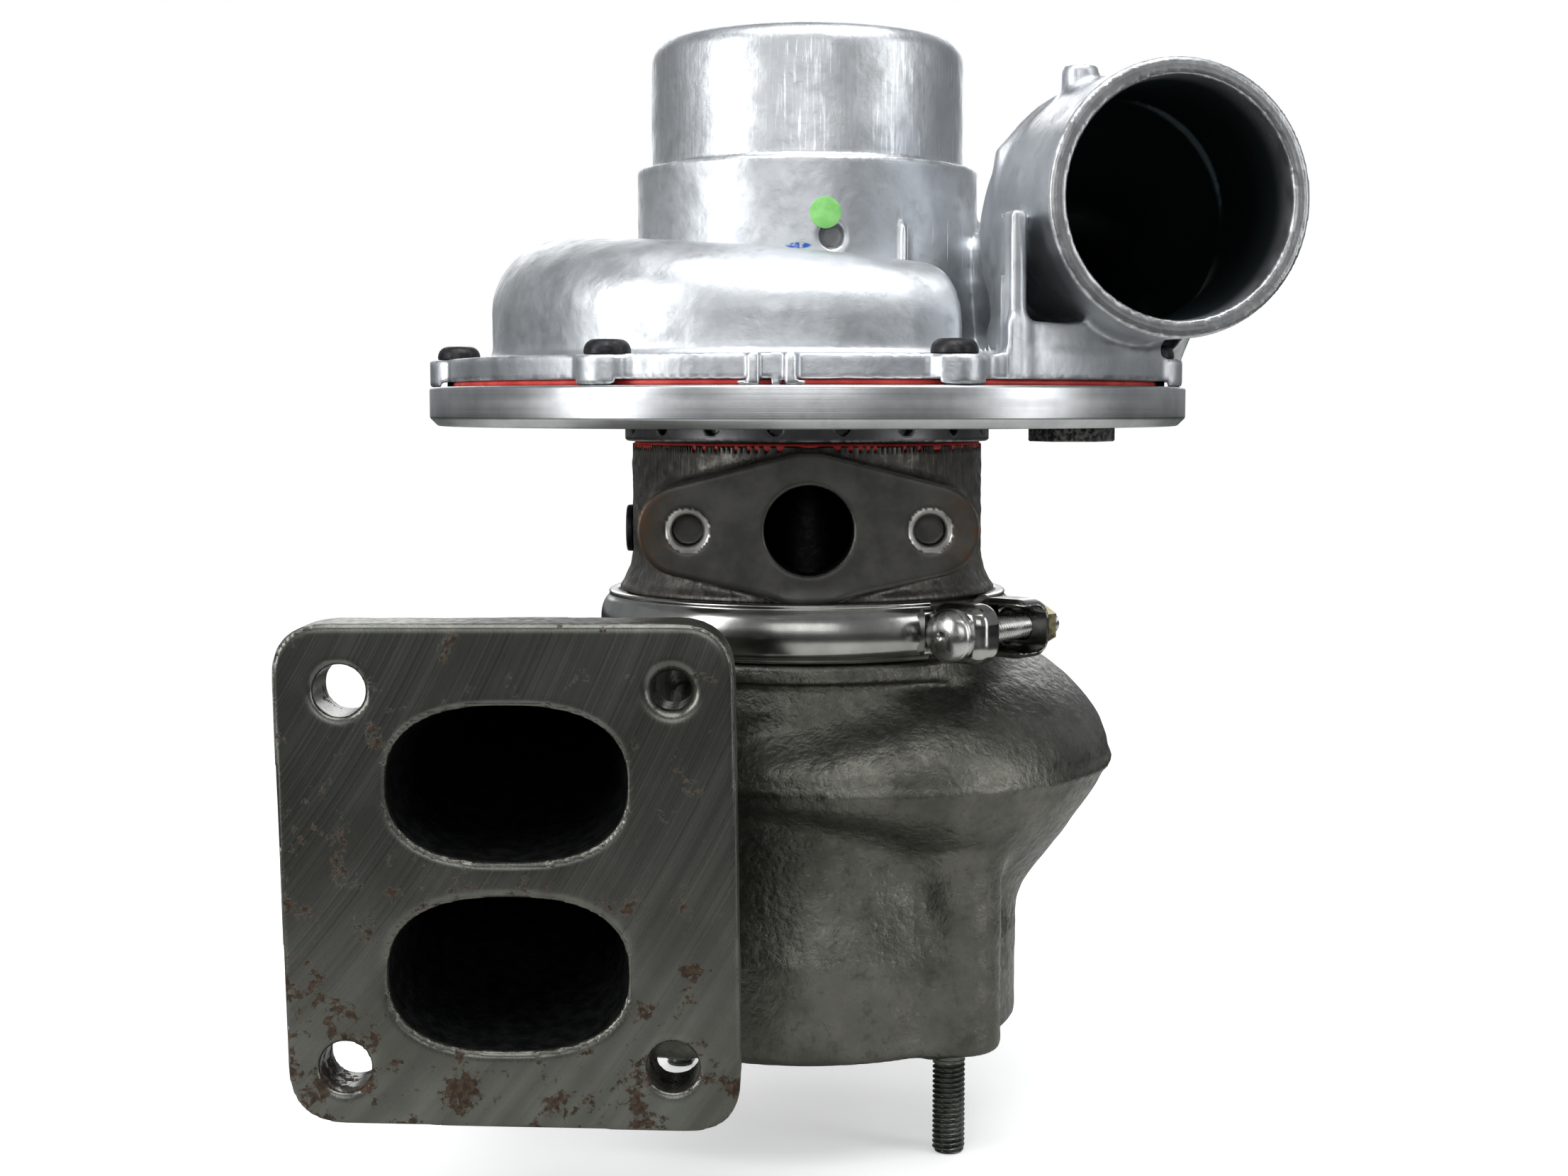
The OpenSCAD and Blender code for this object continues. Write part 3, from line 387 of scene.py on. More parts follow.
class Look:
    """A node material for one metal or rubber."""

    def __init__(self, name, base, metallic, roughness):
        self.material = bpy.data.materials.new(name)
        self.material.use_nodes = True
        self.tree = self.material.node_tree
        self.bsdf = self.tree.nodes["Principled BSDF"]
        self.bsdf.inputs["Metallic"].default_value = metallic
        self.bsdf.inputs["Roughness"].default_value = roughness
        self.bsdf.inputs["Base Color"].default_value = (*base, 1)
        self.color = self.rough = self.normal = None
        self.place = self.node("ShaderNodeTexCoord").outputs["Object"]

    def node(self, kind, **settings):
        n = self.tree.nodes.new(kind)
        for key, value in settings.items():
            setattr(n, key, value)
        return n

    def link(self, source, target):
        if hasattr(source, "is_output"):
            self.tree.links.new(source, target)
        elif isinstance(source, tuple):
            target.default_value = (*source, 1) if len(target.default_value) == 4 else source
        else:
            target.default_value = source

    def math(self, operation, a, b=0.0, c=None, clamp=False):
        n = self.node("ShaderNodeMath", operation=operation, use_clamp=clamp)
        for i, value in enumerate([a, b] if c is None else [a, b, c]):
            self.link(value, n.inputs[i])
        return n.outputs[0]

    def times(self, a, b):
        return self.math("MULTIPLY", a, b)

    def vector(self, operation, a, b=(0, 0, 0)):
        n = self.node("ShaderNodeVectorMath", operation=operation)
        self.link(a, n.inputs[0])
        self.link(b, n.inputs[1])
        return n.outputs["Value" if operation in ("LENGTH", "DISTANCE", "DOT_PRODUCT") else 0]

    def stretch(self, scale, place=None):
        return self.vector("MULTIPLY", place or self.place, tuple(scale))

    def noise(self, size_mm, detail=3, rough=0.55, place=None, distortion=0.0):
        n = self.node("ShaderNodeTexNoise")
        n.inputs["Scale"].default_value = 1000 / size_mm
        n.inputs["Detail"].default_value = detail
        n.inputs["Roughness"].default_value = rough
        n.inputs["Distortion"].default_value = distortion
        self.link(place or self.place, n.inputs["Vector"])
        return n.outputs[0]

    def cells(self, size_mm, place=None):
        n = self.node("ShaderNodeTexVoronoi", feature="SMOOTH_F1")
        n.inputs["Scale"].default_value = 1000 / size_mm
        self.link(place or self.place, n.inputs["Vector"])
        return n.outputs["Distance"]

    def steps(self, value, low, high):
        n = self.node("ShaderNodeMapRange", interpolation_type="SMOOTHSTEP")
        self.link(value, n.inputs["Value"])
        n.inputs["From Min"].default_value = low
        n.inputs["From Max"].default_value = high
        return n.outputs["Result"]

    def patches(self, low, high, *noise):
        """Patches of a noise, from 0 below low to 1 above high."""
        return self.steps(self.noise(*noise), low, high)

    def mixed(self, factor, a, b):
        n = self.node("ShaderNodeMix", data_type="RGBA")
        self.link(factor, n.inputs[0])
        self.link(a, n.inputs[6])
        self.link(b, n.inputs[7])
        return n.outputs[2]

    def lerp(self, factor, a, b):
        n = self.node("ShaderNodeMix", data_type="FLOAT")
        self.link(factor, n.inputs[0])
        self.link(a, n.inputs[2])
        self.link(b, n.inputs[3])
        return n.outputs[0]

    def bump(self, height, depth_mm, strength=1.0):
        n = self.node("ShaderNodeBump")
        n.inputs["Strength"].default_value = strength
        n.inputs["Distance"].default_value = depth_mm * MM
        self.link(height, n.inputs["Height"])
        if self.normal is not None:
            self.link(self.normal, n.inputs["Normal"])
        self.normal = n.outputs[0]

    def axes(self):
        n = self.node("ShaderNodeSeparateXYZ")
        self.link(self.place, n.inputs[0])
        return n.outputs

    def turning(self, origin=(0, 0, 0), axis=(0, 0, 1)):
        """Coordinates of turning marks: distance from an axis and along it."""
        p = self.vector("SUBTRACT", self.place, tuple(c * MM for c in origin))
        along = self.vector("DOT_PRODUCT", p, tuple(axis))
        square = self.vector("DOT_PRODUCT", p, p)
        radius = self.math("SQRT", self.math("MAXIMUM", self.math(
            "SUBTRACT", square, self.math("MULTIPLY", along, along)), 0.0))
        n = self.node("ShaderNodeCombineXYZ")
        self.link(radius, n.inputs[0])
        self.link(along, n.inputs[1])
        return n.outputs[0]

    def attribute(self, name):
        return self.node("ShaderNodeAttribute", attribute_name=name).outputs["Fac"]

    def near(self, point, radius_mm, soft_mm=0.25, squeeze=(1, 1, 1)):
        """1 within a radius of a point, else 0; squeeze narrows the spot along an axis."""
        off = self.vector("SUBTRACT", self.place, tuple(c * MM for c in point))
        d = self.vector("LENGTH", self.stretch(squeeze, off))
        return self.steps(d, (radius_mm + soft_mm) * MM, (radius_mm - soft_mm) * MM)

    def edges(self, low=0.5, high=0.6):
        return self.steps(self.node("ShaderNodeNewGeometry").outputs["Pointiness"], low, high)

    def done(self):
        for value, name in ((self.color, "Base Color"), (self.rough, "Roughness"), (self.normal, "Normal")):
            if value is not None:
                self.link(value, self.bsdf.inputs[name])
        return self.material


OUTLET_FACE = np.array([81.0, -76.0, 201.4])
OUTLET_YAW = 12.7
OUTLET_DIR = np.array([math.sin(math.radians(OUTLET_YAW)), -math.cos(math.radians(OUTLET_YAW)), 0])
OUTLET_R, OUTLET_BORE_R = 30.5, 26.5
COLLAR_R = 42.8
INLET_STEP_Z = 214.6
STICKER_AZIMUTH, STICKER_Z, STICKER_R = 5.2, 201.2, 3.7
PAINT_SMEAR = around(-3.3, 43.0, 193.6)
ROUND_MARK = around(7.2, COLLAR_R, 195.9)


def cast_aluminium():
    m = Look("cast_aluminium", (0.60, 0.62, 0.64), 1.0, 0.36)
    cut = m.attribute("machined")
    z = m.axes()[2]
    cloud = m.noise(34, 3, 0.5)
    mottle = m.noise(7, 4, 0.6)
    grain = m.noise(0.9, 3, 0.65)
    pits = m.cells(1.6)
    # upright handling marks on the pipe, round the spiral elsewhere
    upright = m.noise(1, 3, 0.7, m.stretch((1.2, 1.2, 0.07)))
    long_marks = m.noise(1, 2, 0.7, m.stretch((0.35, 0.35, 2.0)))
    on_pipe = m.steps(z, 0.2135, 0.2160)
    color = m.mixed(m.steps(cloud, 0.35, 0.7), (0.46, 0.48, 0.505), (0.66, 0.68, 0.70))
    color = m.mixed(m.steps(mottle, 0.5, 0.78), color, (0.40, 0.42, 0.44))
    dull = m.times(m.patches(0.62, 0.75, 16, 2, 0.5), 0.6)
    color = m.mixed(dull, color, (0.36, 0.37, 0.37))
    color = m.mixed(m.times(on_pipe, m.steps(upright, 0.52, 0.7)), color, (0.74, 0.76, 0.78))
    worn = m.times(m.edges(0.51, 0.56), m.steps(mottle, 0.35, 0.6))
    color = m.mixed(worn, color, (0.80, 0.82, 0.84))
    fresh = m.mixed(m.patches(0.3, 0.7, 5, 3), (0.29, 0.295, 0.30), (0.39, 0.395, 0.40))
    color = m.mixed(cut, color, fresh)
    # painted shade: near-black blue-grey inside the volute, its exit, the outlet bore and the intake, by the inside
    # weight
    inside = m.attribute("inside")
    color = m.mixed(inside, color, (0.055, 0.072, 0.078))
    mark = m.near(ROUND_MARK, 3.2, 0.25)
    color = m.mixed(mark, color, (0.10, 0.105, 0.11))
    color = m.mixed(m.near(ROUND_MARK, 2.5, 0.3), color, (0.17, 0.175, 0.18))
    smear = m.times(m.near(PAINT_SMEAR, 2.9, 0.6, (1, 1, 4.2)), m.patches(0.32, 0.5, 1.5, 3))
    m.color = m.mixed(smear, color, (0.03, 0.12, 0.42))
    rough = m.lerp(m.steps(mottle, 0.3, 0.75), 0.38, 0.52)
    rough = m.lerp(m.times(on_pipe, m.steps(upright, 0.45, 0.7)), rough, 0.32)
    rough = m.lerp(cut, rough, 0.36)
    m.rough = m.lerp(inside, rough, 0.5)
    m.bump(pits, 0.10, 0.35)
    m.bump(grain, 0.07, 0.5)
    m.bump(m.times(upright, on_pipe), 0.05, 0.5)
    m.bump(m.times(m.steps(long_marks, 0.62, 0.7), -1.0), 0.03, 0.3)
    rings = m.noise(0.5, 1, 0.5, m.turning(OUTLET_FACE, OUTLET_DIR))
    m.bump(m.times(rings, cut), 0.08, 0.7)
    return m.done()


def turned_metal(name, dark, light, rough_low, rough_high, marks_mm=0.35, metallic=1.0, stain=(0.3, 0.29, 0.27),
                 stain_amount=0.35, depth=0.03):
    m = Look(name, light, metallic, rough_low)
    ring = m.noise(marks_mm, 2, 0.6, m.turning())
    band = m.noise(4.5, 2, 0.6, m.turning())
    cloud = m.noise(14, 4, 0.6)
    scratch = m.noise(1.3, 3, 0.7, m.stretch((0.5, 0.5, 1.6)))
    color = m.mixed(m.steps(cloud, 0.3, 0.7), dark, light)
    color = m.mixed(m.times(m.patches(0.58, 0.74, 9, 5, 0.7), stain_amount), color, stain)
    color = m.mixed(m.times(m.edges(0.515, 0.58), 0.8), color, tuple(min(1, c * 1.25) for c in light))
    m.color = m.mixed(m.times(m.steps(scratch, 0.66, 0.74), 0.5), color, tuple(c * 0.6 for c in dark))
    m.rough = m.lerp(m.steps(band, 0.3, 0.7), rough_low, rough_high)
    m.bump(ring, depth, 0.6)
    m.bump(m.noise(1.1, 3, 0.6), 0.03, 0.3)
    return m.done()


def black_oxide():
    m = Look("black_oxide", (0.02, 0.02, 0.022), 0.75, 0.42)
    wear = m.times(m.edges(0.515, 0.57), m.patches(0.42, 0.62, 1.4, 4, 0.7))
    color = m.mixed(m.patches(0.4, 0.7, 2.5, 4), (0.016, 0.016, 0.018), (0.040, 0.039, 0.040))
    m.color = m.mixed(wear, color, (0.20, 0.19, 0.18))
    m.rough = m.lerp(m.patches(0.35, 0.65, 1.2, 3), 0.34, 0.56)
    m.bump(m.noise(0.35, 2), 0.02, 0.4)
    return m.done()


def matt(name, low, high, cloud_mm, rough_low, rough_high, grain_mm):
    """Rubber or paper, with hardly any shine."""
    m = Look(name, low, 0.0, rough_high)
    m.color = m.mixed(m.patches(0.35, 0.7, cloud_mm, 3), low, high)
    m.rough = m.lerp(m.patches(0.4, 0.7, 1.5, 3), rough_low, rough_high)
    m.bump(m.noise(grain_mm, 2), 0.01, 0.4)
    return m.done()


def bearing_iron():
    m = Look("bearing_iron", (0.10, 0.095, 0.09), 0.85, 0.5)
    cut = m.attribute("machined")
    x = m.axes()[0]
    grain = m.noise(0.8, 4, 0.65)
    lumps = m.noise(2.4, 3, 0.6)
    streak = m.noise(1, 3, 0.65, m.stretch((1.1, 1.1, 0.12)))
    cloud = m.noise(12, 4, 0.6)
    color = m.mixed(m.steps(cloud, 0.35, 0.7), (0.066, 0.063, 0.056), (0.128, 0.123, 0.110))
    color = m.mixed(m.times(m.steps(streak, 0.45, 0.7), 0.5), color, (0.21, 0.20, 0.185))
    color = m.mixed(m.times(m.patches(0.58, 0.75, 5, 5, 0.7), 0.5), color, (0.14, 0.075, 0.035))
    smooth_face = m.mixed(m.patches(0.35, 0.7, 9, 4, 0.6), (0.056, 0.055, 0.050), (0.090, 0.088, 0.080))
    ends = m.times(m.steps(m.math("ABSOLUTE", x), 0.028, 0.041), m.patches(0.40, 0.62, 4, 5, 0.7))
    smooth_face = m.mixed(m.times(ends, 0.75), smooth_face, (0.10, 0.055, 0.028))
    color = m.mixed(cut, color, smooth_face)
    bright = m.attribute("bright")
    color = m.mixed(bright, color, (0.60, 0.59, 0.56))
    # painted shade: near-black inside the oil port and the bore, by the inside weight
    m.color = m.mixed(m.attribute("inside"), color, (0.012, 0.011, 0.011))
    rough = m.lerp(cut, m.lerp(m.steps(lumps, 0.35, 0.65), 0.36, 0.58), 0.42)
    m.rough = m.lerp(bright, rough, 0.3)
    cast = m.math("SUBTRACT", 1.0, cut)
    m.bump(m.times(lumps, cast), 0.35, 0.5)
    m.bump(m.times(grain, cast), 0.16, 0.5)
    m.bump(m.times(streak, cast), 0.12, 0.5)
    m.bump(m.noise(0.5, 2), 0.03, 0.35)
    return m.done()


def turbine_iron():
    m = Look("turbine_iron", (0.12, 0.11, 0.10), 0.9, 0.5)
    cut = m.attribute("machined")
    x, _, z = m.axes()
    grain = m.noise(0.7, 3, 0.6)
    lumps = m.noise(1.9, 4, 0.62)
    bubbles = m.cells(1.5)
    cloud = m.noise(22, 4, 0.6)
    color = m.mixed(m.steps(cloud, 0.35, 0.68), (0.078, 0.077, 0.066), (0.150, 0.148, 0.130))
    color = m.mixed(m.times(m.patches(0.52, 0.72, 4, 4, 0.7), 0.55), color, (0.048, 0.046, 0.038))
    color = m.mixed(m.times(m.patches(0.60, 0.78, 11, 5, 0.7), 0.45), color, (0.085, 0.056, 0.034))
    # the milled flange face: sweeping tool marks, stains and rust
    sweep = m.turning((-330, -102, 230), (0, 1, 0))
    marks = m.noise(0.55, 2, 0.6, sweep)
    wide_marks = m.noise(7, 3, 0.6, sweep)
    face = m.mixed(m.steps(wide_marks, 0.3, 0.7), (0.088, 0.090, 0.080), (0.145, 0.148, 0.132))
    face = m.mixed(m.times(m.patches(0.42, 0.62, 26, 3, 0.5), 0.55), face, (0.078, 0.078, 0.067))
    low_left = m.math("ADD", m.times(z, -4.5), m.times(x, -2.2))
    rust_limit = m.math("SUBTRACT", m.math("ADD", m.noise(8, 7, 0.72), m.times(m.noise(1.6, 4, 0.7), 0.22)),
                        m.times(low_left, -0.22))
    rust = m.steps(rust_limit, 0.665, 0.70)
    rust_color = m.mixed(m.patches(0.4, 0.6, 1.2, 3), (0.036, 0.024, 0.017), (0.085, 0.055, 0.036))
    face = m.mixed(m.times(rust, 0.88), face, rust_color)
    color = m.mixed(cut, color, face)
    # soot with painted shade: darker inside the gas passages and, at part weight, the bore
    soot_and_shade = m.mixed(m.patches(0.35, 0.7, 3, 4), (0.022, 0.025, 0.024), (0.060, 0.062, 0.060))
    inside = m.attribute("inside")
    m.color = m.mixed(inside, color, soot_and_shade)
    cast_rough = m.lerp(m.steps(lumps, 0.35, 0.65), 0.30, 0.48)
    face_rough = m.lerp(rust, m.lerp(m.steps(marks, 0.35, 0.65), 0.25, 0.33), 0.75)
    m.rough = m.lerp(inside, m.lerp(cut, cast_rough, face_rough), 0.35)
    cast = m.math("SUBTRACT", 1.0, cut)
    m.bump(m.times(bubbles, cast), 0.30, 0.45)
    m.bump(m.times(lumps, cast), 0.5, 0.6)
    m.bump(m.times(grain, cast), 0.22, 0.5)
    m.bump(m.times(marks, cut), 0.05, 0.5)
    m.bump(m.times(rust, cut), 0.05, 0.5)
    return m.done()


def plated(name, low, high, rough_low, rough_high, spot, metallic=1.0, spot_amount=0.5):
    m = Look(name, high, metallic, rough_low)
    color = m.mixed(m.patches(0.3, 0.7, 5, 4, 0.6), low, high)
    color = m.mixed(m.times(m.patches(0.56, 0.72, 2.2, 5, 0.7), spot_amount), color, spot)
    m.color = m.mixed(m.times(m.edges(0.515, 0.57), 0.7), color, tuple(min(1, c * 1.3) for c in high))
    m.rough = m.lerp(m.patches(0.35, 0.7, 2.5, 4), rough_low, rough_high)
    m.bump(m.noise(0.4, 3), 0.012, 0.5)
    return m.done()


ALUMINIUM = cast_aluminium()
PLATE = turned_metal("turned_aluminium", (0.42, 0.43, 0.44), (0.56, 0.57, 0.58), 0.30, 0.44,
                     stain=(0.34, 0.31, 0.26), stain_amount=0.45)
BLACK = black_oxide()
RED = matt("red_seal", (0.50, 0.025, 0.02), (0.66, 0.07, 0.05), 6, 0.38, 0.6, 0.4)
BEARING_IRON = bearing_iron()
TURBINE_IRON = turbine_iron()
STEEL = turned_metal("plain_steel", (0.36, 0.36, 0.36), (0.56, 0.56, 0.56), 0.24, 0.38)
# hub ring: a much darker copy of the turned aluminium, its own dark finish and painted shade of the gap under the seal
# plate
HUB = turned_metal("hub_aluminium_dark_and_shaded", (0.13, 0.13, 0.135), (0.21, 0.21, 0.215), 0.34, 0.48)
STRAP = turned_metal("polished_steel", (0.27, 0.27, 0.255), (0.42, 0.42, 0.40), 0.14, 0.25, marks_mm=1.2,
                     stain=(0.34, 0.30, 0.25), stain_amount=0.5, depth=0.012)
BOLT = plated("bolt_steel", (0.36, 0.36, 0.35), (0.54, 0.54, 0.53), 0.20, 0.34, (0.30, 0.27, 0.23))
ZINC = plated("yellow_zinc", (0.52, 0.44, 0.22), (0.74, 0.66, 0.42), 0.24, 0.42, (0.30, 0.22, 0.10))
STUD = plated("stud_steel", (0.07, 0.08, 0.065), (0.16, 0.17, 0.15), 0.28, 0.46, (0.10, 0.07, 0.045), 0.9)
BRONZE = turned_metal("bearing_bronze", (0.50, 0.33, 0.15), (0.66, 0.47, 0.24), 0.22, 0.36)
ALLOY = turned_metal("dark_alloy", (0.20, 0.19, 0.18), (0.33, 0.32, 0.31), 0.34, 0.52, marks_mm=0.8,
                     stain=(0.12, 0.09, 0.07))
WHEEL = turned_metal("wheel_aluminium", (0.60, 0.61, 0.62), (0.78, 0.79, 0.80), 0.20, 0.34, marks_mm=0.5)
GREEN = matt("sticker_green", (0.20, 0.56, 0.14), (0.30, 0.68, 0.22), 3, 0.45, 0.62, 0.5)


# ---------------------------------------------------------------- compressor cover

PLATE_TOP = 160.7
INLET_R, INLET_BORE_R = 39.2, 34
INLET_TOP = 246.3
FLANGE_R, FLANGE_T = 90, 6.8
FLANGE_TOP = PLATE_TOP + FLANGE_T
LUG_AZIMUTH = -5.2
VOLUTE_START, VOLUTE_TURN, VOLUTE_WALL = 30, 300, 4.0
OUTLET_LEN = 34
OUTLET_ROOT = OUTLET_FACE - OUTLET_LEN * OUTLET_DIR
SCREW_R = 87.6
SCREW_AZIMUTHS = [20.8 + 360 / 7 * i for i in range(7)]


def volute_size(turn):
    """Half height, half width and the radius of the middle of the spiral's section."""
    r = np.sqrt(200 + 1.3 * turn)
    return r, r + 1.1, COLLAR_R - 3 + r + 1.1


def volute_section(u, w, half_u, half_w, square):
    """Distance to a section that is round above and square below by a share."""
    low = np.minimum(half_u, half_w)
    oval = (np.hypot(u / half_u, w / half_w) - 1) * low
    box = np.maximum(np.abs(u) - half_u, -w - half_w)
    return np.where(w >= 0, oval, mix(oval, box, square))


def volute_spiral(inset):
    def fn(x, y, z):
        radius = np.hypot(x, y)
        turn = np.mod(VOLUTE_START - np.degrees(np.arctan2(x, -y)), 360)
        start = 12 if inset else 0
        past = np.where(turn > 335, (360 + start - turn), np.maximum(start - turn, turn - VOLUTE_TURN - 4))
        half_w, half_u, middle = volute_size(np.clip(turn, 0, VOLUTE_TURN))
        d = volute_section(radius - middle, z - PLATE_TOP - half_w, half_u - inset, half_w - inset, 1.0)
        if inset:
            d = np.where(z < PLATE_TOP + half_w, np.abs(radius - middle) - half_u + inset, d)
        return extruded(d, past * radius * math.pi / 180, 0 if inset else 2.0).astype(np.float32)
    return fn, (-98, -98, PLATE_TOP - 2), (98, 98, PLATE_TOP + 52)


def volute_exit(inset):
    half_w0, half_u0, middle = volute_size(VOLUTE_TURN)

    def fn(x, y, z):
        t = -y / -OUTLET_ROOT[1]
        q = smooth(t)
        half_u, half_w = mix(half_u0, OUTLET_R, q) - inset, mix(half_w0, OUTLET_R, q) - inset
        cx = mix(middle, OUTLET_ROOT[0], np.clip(t, -0.2, 1.3))
        cz = mix(PLATE_TOP + half_w0, OUTLET_FACE[2], q)
        yaw = np.radians(OUTLET_YAW) * q
        d = volute_section((x - cx) * np.cos(yaw), z - cz, half_u, half_w, 1 - q)
        return extruded(d, np.maximum(y - 3, OUTLET_ROOT[1] - 2 - y), 0).astype(np.float32)
    return fn, (36, OUTLET_ROOT[1] - 4, PLATE_TOP - 2), (108, 5, 236)


def outlet_pipe(r, past=0.0, edge=0.0, back=4.0):
    return cylinder(OUTLET_ROOT - back * OUTLET_DIR, OUTLET_DIR, r, OUTLET_LEN + back + past, edge)


def build_cover():
    low, high = (-96, -98, PLATE_TOP), (112, 96, INLET_TOP)
    field = Field(low, high, 0.75)
    lip = 5
    rim = [(INLET_R - lip + lip * math.cos(math.radians(a)), INLET_TOP - lip + lip * math.sin(math.radians(a)))
           for a in range(0, 91, 9)]
    field.add(turned([(20, PLATE_TOP), (COLLAR_R + 6, PLATE_TOP), (COLLAR_R, PLATE_TOP + 12), (COLLAR_R, INLET_STEP_Z),
                      (INLET_R, INLET_STEP_Z + 0.3), *rim, (20, INLET_TOP)]))
    field.add(volute_spiral(0), 5.0)
    exit_ = Field(low, high, field.h)
    exit_.add(volute_exit(0))
    exit_.add(outlet_pipe(OUTLET_R, edge=0.9), 3.0)
    field.f = smooth_min(field.f, exit_.f, 4.5)
    # wall under the outlet with a rib up its left side
    disc = cylinder((0, 0, PLATE_TOP - 4), UP, 90.6, 60, 1.0)
    for middle, half in (((64.5, -60, PLATE_TOP + 7), (21, 30, 7)),
                         ((45.3, -60, PLATE_TOP + 19), (1.8, 30, 19))):
        wall = block(middle, half, 0, 1.0)
        both = lambda x, y, z, wall=wall: -smooth_min(-disc[0](x, y, z), -wall[0](x, y, z), 1.0)
        field.add((both, wall[1], wall[2]), 3.0)
    # boss and angular rib on the pipe's inboard side
    field.add(cylinder((OUTLET_ROOT[0] - 11.5, OUTLET_ROOT[1] - 6, 200), UP, 4.2, 33.8, 0.8), 2.5)
    rib = [(43.8, 189), (43.8, 215.5), (53.4, 224.1), (62, 224.1), (62, 189)]
    field.add(standing(lambda px, pz: polygon_distance(px, pz, rib), -46, -40, (43, 188), (63, 225), 0.9), 2.5)
    # flange with its lobes and the locating lug
    flange = Field((-96, -98, PLATE_TOP), (98, 96, FLANGE_TOP + 3), field.h)
    flange.add(cylinder((0, 0, PLATE_TOP), UP, FLANGE_R, FLANGE_T, 0.5))
    for a in SCREW_AZIMUTHS:
        flange.add(cylinder(around(a, SCREW_R, PLATE_TOP), UP, 7.2, FLANGE_T, 0.5), 1.2)
    lug = around(LUG_AZIMUTH, 89.9, PLATE_TOP + FLANGE_T / 2)
    flange.add(block(lug, (5.3, 4.0, FLANGE_T / 2), LUG_AZIMUTH, 0.5), 0.6)
    flange.add(block(around(LUG_AZIMUTH, 89.6, PLATE_TOP + 0.45), (7.5, 4.0, 0.45), LUG_AZIMUTH, 0.3), 0.3)
    n = [min(a, b) for a, b in zip(flange.f.shape, field.f.shape)]
    part = tuple(slice(0, k) for k in n)
    field.f[part] = smooth_min(field.f[part], flange.f[part], 3.0)
    # cast skin, fading out at the machined places
    x, y, z = field.spread()
    cast = smooth((z - FLANGE_TOP) / 3) * smooth((INLET_TOP - 3 - z) / 3)
    to_face = (x - OUTLET_FACE[0]) * OUTLET_DIR[0] + (y - OUTLET_FACE[1]) * OUTLET_DIR[1]
    cast = cast * (1 - smooth((to_face + 12) / 8))
    field.f += (0.16 * field.noise(7) + 0.06 * field.noise(2.4)) * cast
    # spaces inside
    inner = [(-5, PLATE_TOP - 3), (-5, INLET_TOP + 2), (INLET_BORE_R + 1.5, INLET_TOP + 2),
             (INLET_BORE_R, INLET_TOP - 1.5), (INLET_BORE_R, INLET_TOP - 24),
             *[compressor_shroud(math.radians(q), 0.35) for q in range(0, 91, 10)],
             (58, PLATE_TOP + 4.9), (58, PLATE_TOP - 3)]
    field.cut(volute_spiral(VOLUTE_WALL), 0.5)
    field.cut(volute_exit(VOLUTE_WALL), 0.5)
    field.cut(outlet_pipe(OUTLET_BORE_R, past=4), 0.5)
    field.cut(turned(inner), 0.5)
    for a in SCREW_AZIMUTHS:
        field.cut(cylinder(around(a, SCREW_R, PLATE_TOP - 3), UP, 3.3, 12))
        field.cut(cylinder(around(a, SCREW_R, FLANGE_TOP), UP, 6.9, 12, 0.4), 0.6)
    field.cut(block(around(LUG_AZIMUTH, 94.6, PLATE_TOP + 4.0), (2.7, 2.2, 5.0), LUG_AZIMUTH, 0.2))
    field.cut(turned([(87.9, PLATE_TOP - 3), (92.2, PLATE_TOP - 3), (92.2, PLATE_TOP + 1.3), (87.9, PLATE_TOP + 1.3)]))
    # round recessed mark below the sticker
    out = ROUND_MARK * (1, 1, 0) / COLLAR_R
    field.cut(cylinder(ROUND_MARK - out * 0.9, out, 3.1, 6, 0.2), 0.4)
    verts, quads = field.surface()
    px, py, pz = verts.T
    face_d = (verts - OUTLET_FACE) @ OUTLET_DIR
    near_pipe = np.linalg.norm(verts - OUTLET_FACE, axis=1) < 40
    machined = ((face_d > -0.35) & near_pipe) | (pz < PLATE_TOP + 0.4)
    radius = np.hypot(px, py)
    off = verts - OUTLET_ROOT
    along = off @ OUTLET_DIR
    across = np.linalg.norm(off - along[:, None] * OUTLET_DIR, axis=1)
    # inside weight: where the near-black painted shade goes, full in the volute, its exit and the outlet bore, half in
    # the intake
    inside = smooth((27.4 - across) / 0.7) * (along > -6) * smooth((OUTLET_LEN - 1.2 - along) / 9)
    in_exit = (volute_exit(VOLUTE_WALL)[0](px, py, pz) < 0.8) & (along <= -5)
    in_spiral = (volute_spiral(VOLUTE_WALL)[0](px, py, pz) < 0.8) & (radius > 45)
    intake = (radius < 33.4) | ((radius < 60) & (pz < PLATE_TOP + 5.5))
    inside = np.maximum(inside, (in_exit | in_spiral | intake).astype(float))
    inside = np.where(intake, 0.45, inside)
    make("CompressorCover", verts, quads, ALUMINIUM, "cast_aluminium", "casing", ["compressor_cover"],
         sharp=0, machined=machined, inside=inside)


# ---------------------------------------------------------------- turbine housing

PARTING_Z = 66.4
SCROLL_BASE = 50.0
TURBINE_INLET_Y = -102.0
INLET_C = (-64.5, 56.0)
PORT, PORT_Z = (25.6, 16.8), 20.5
INLET_HOLE_X, INLET_HOLE_Z = 35, 40.5
STUD_AZIMUTHS, TAPPED_AZIMUTHS = (45, 225), (135, 315)
STUD_R, STUD_OUT = 49, 26.5


def scroll_width(turn):
    full = 45 + 2 * np.sqrt(64 + 2.36 * np.maximum(turn, 0)) - SCROLL_BASE
    return np.where(turn < 0, 11 * smooth((turn + 48) / 48), full)


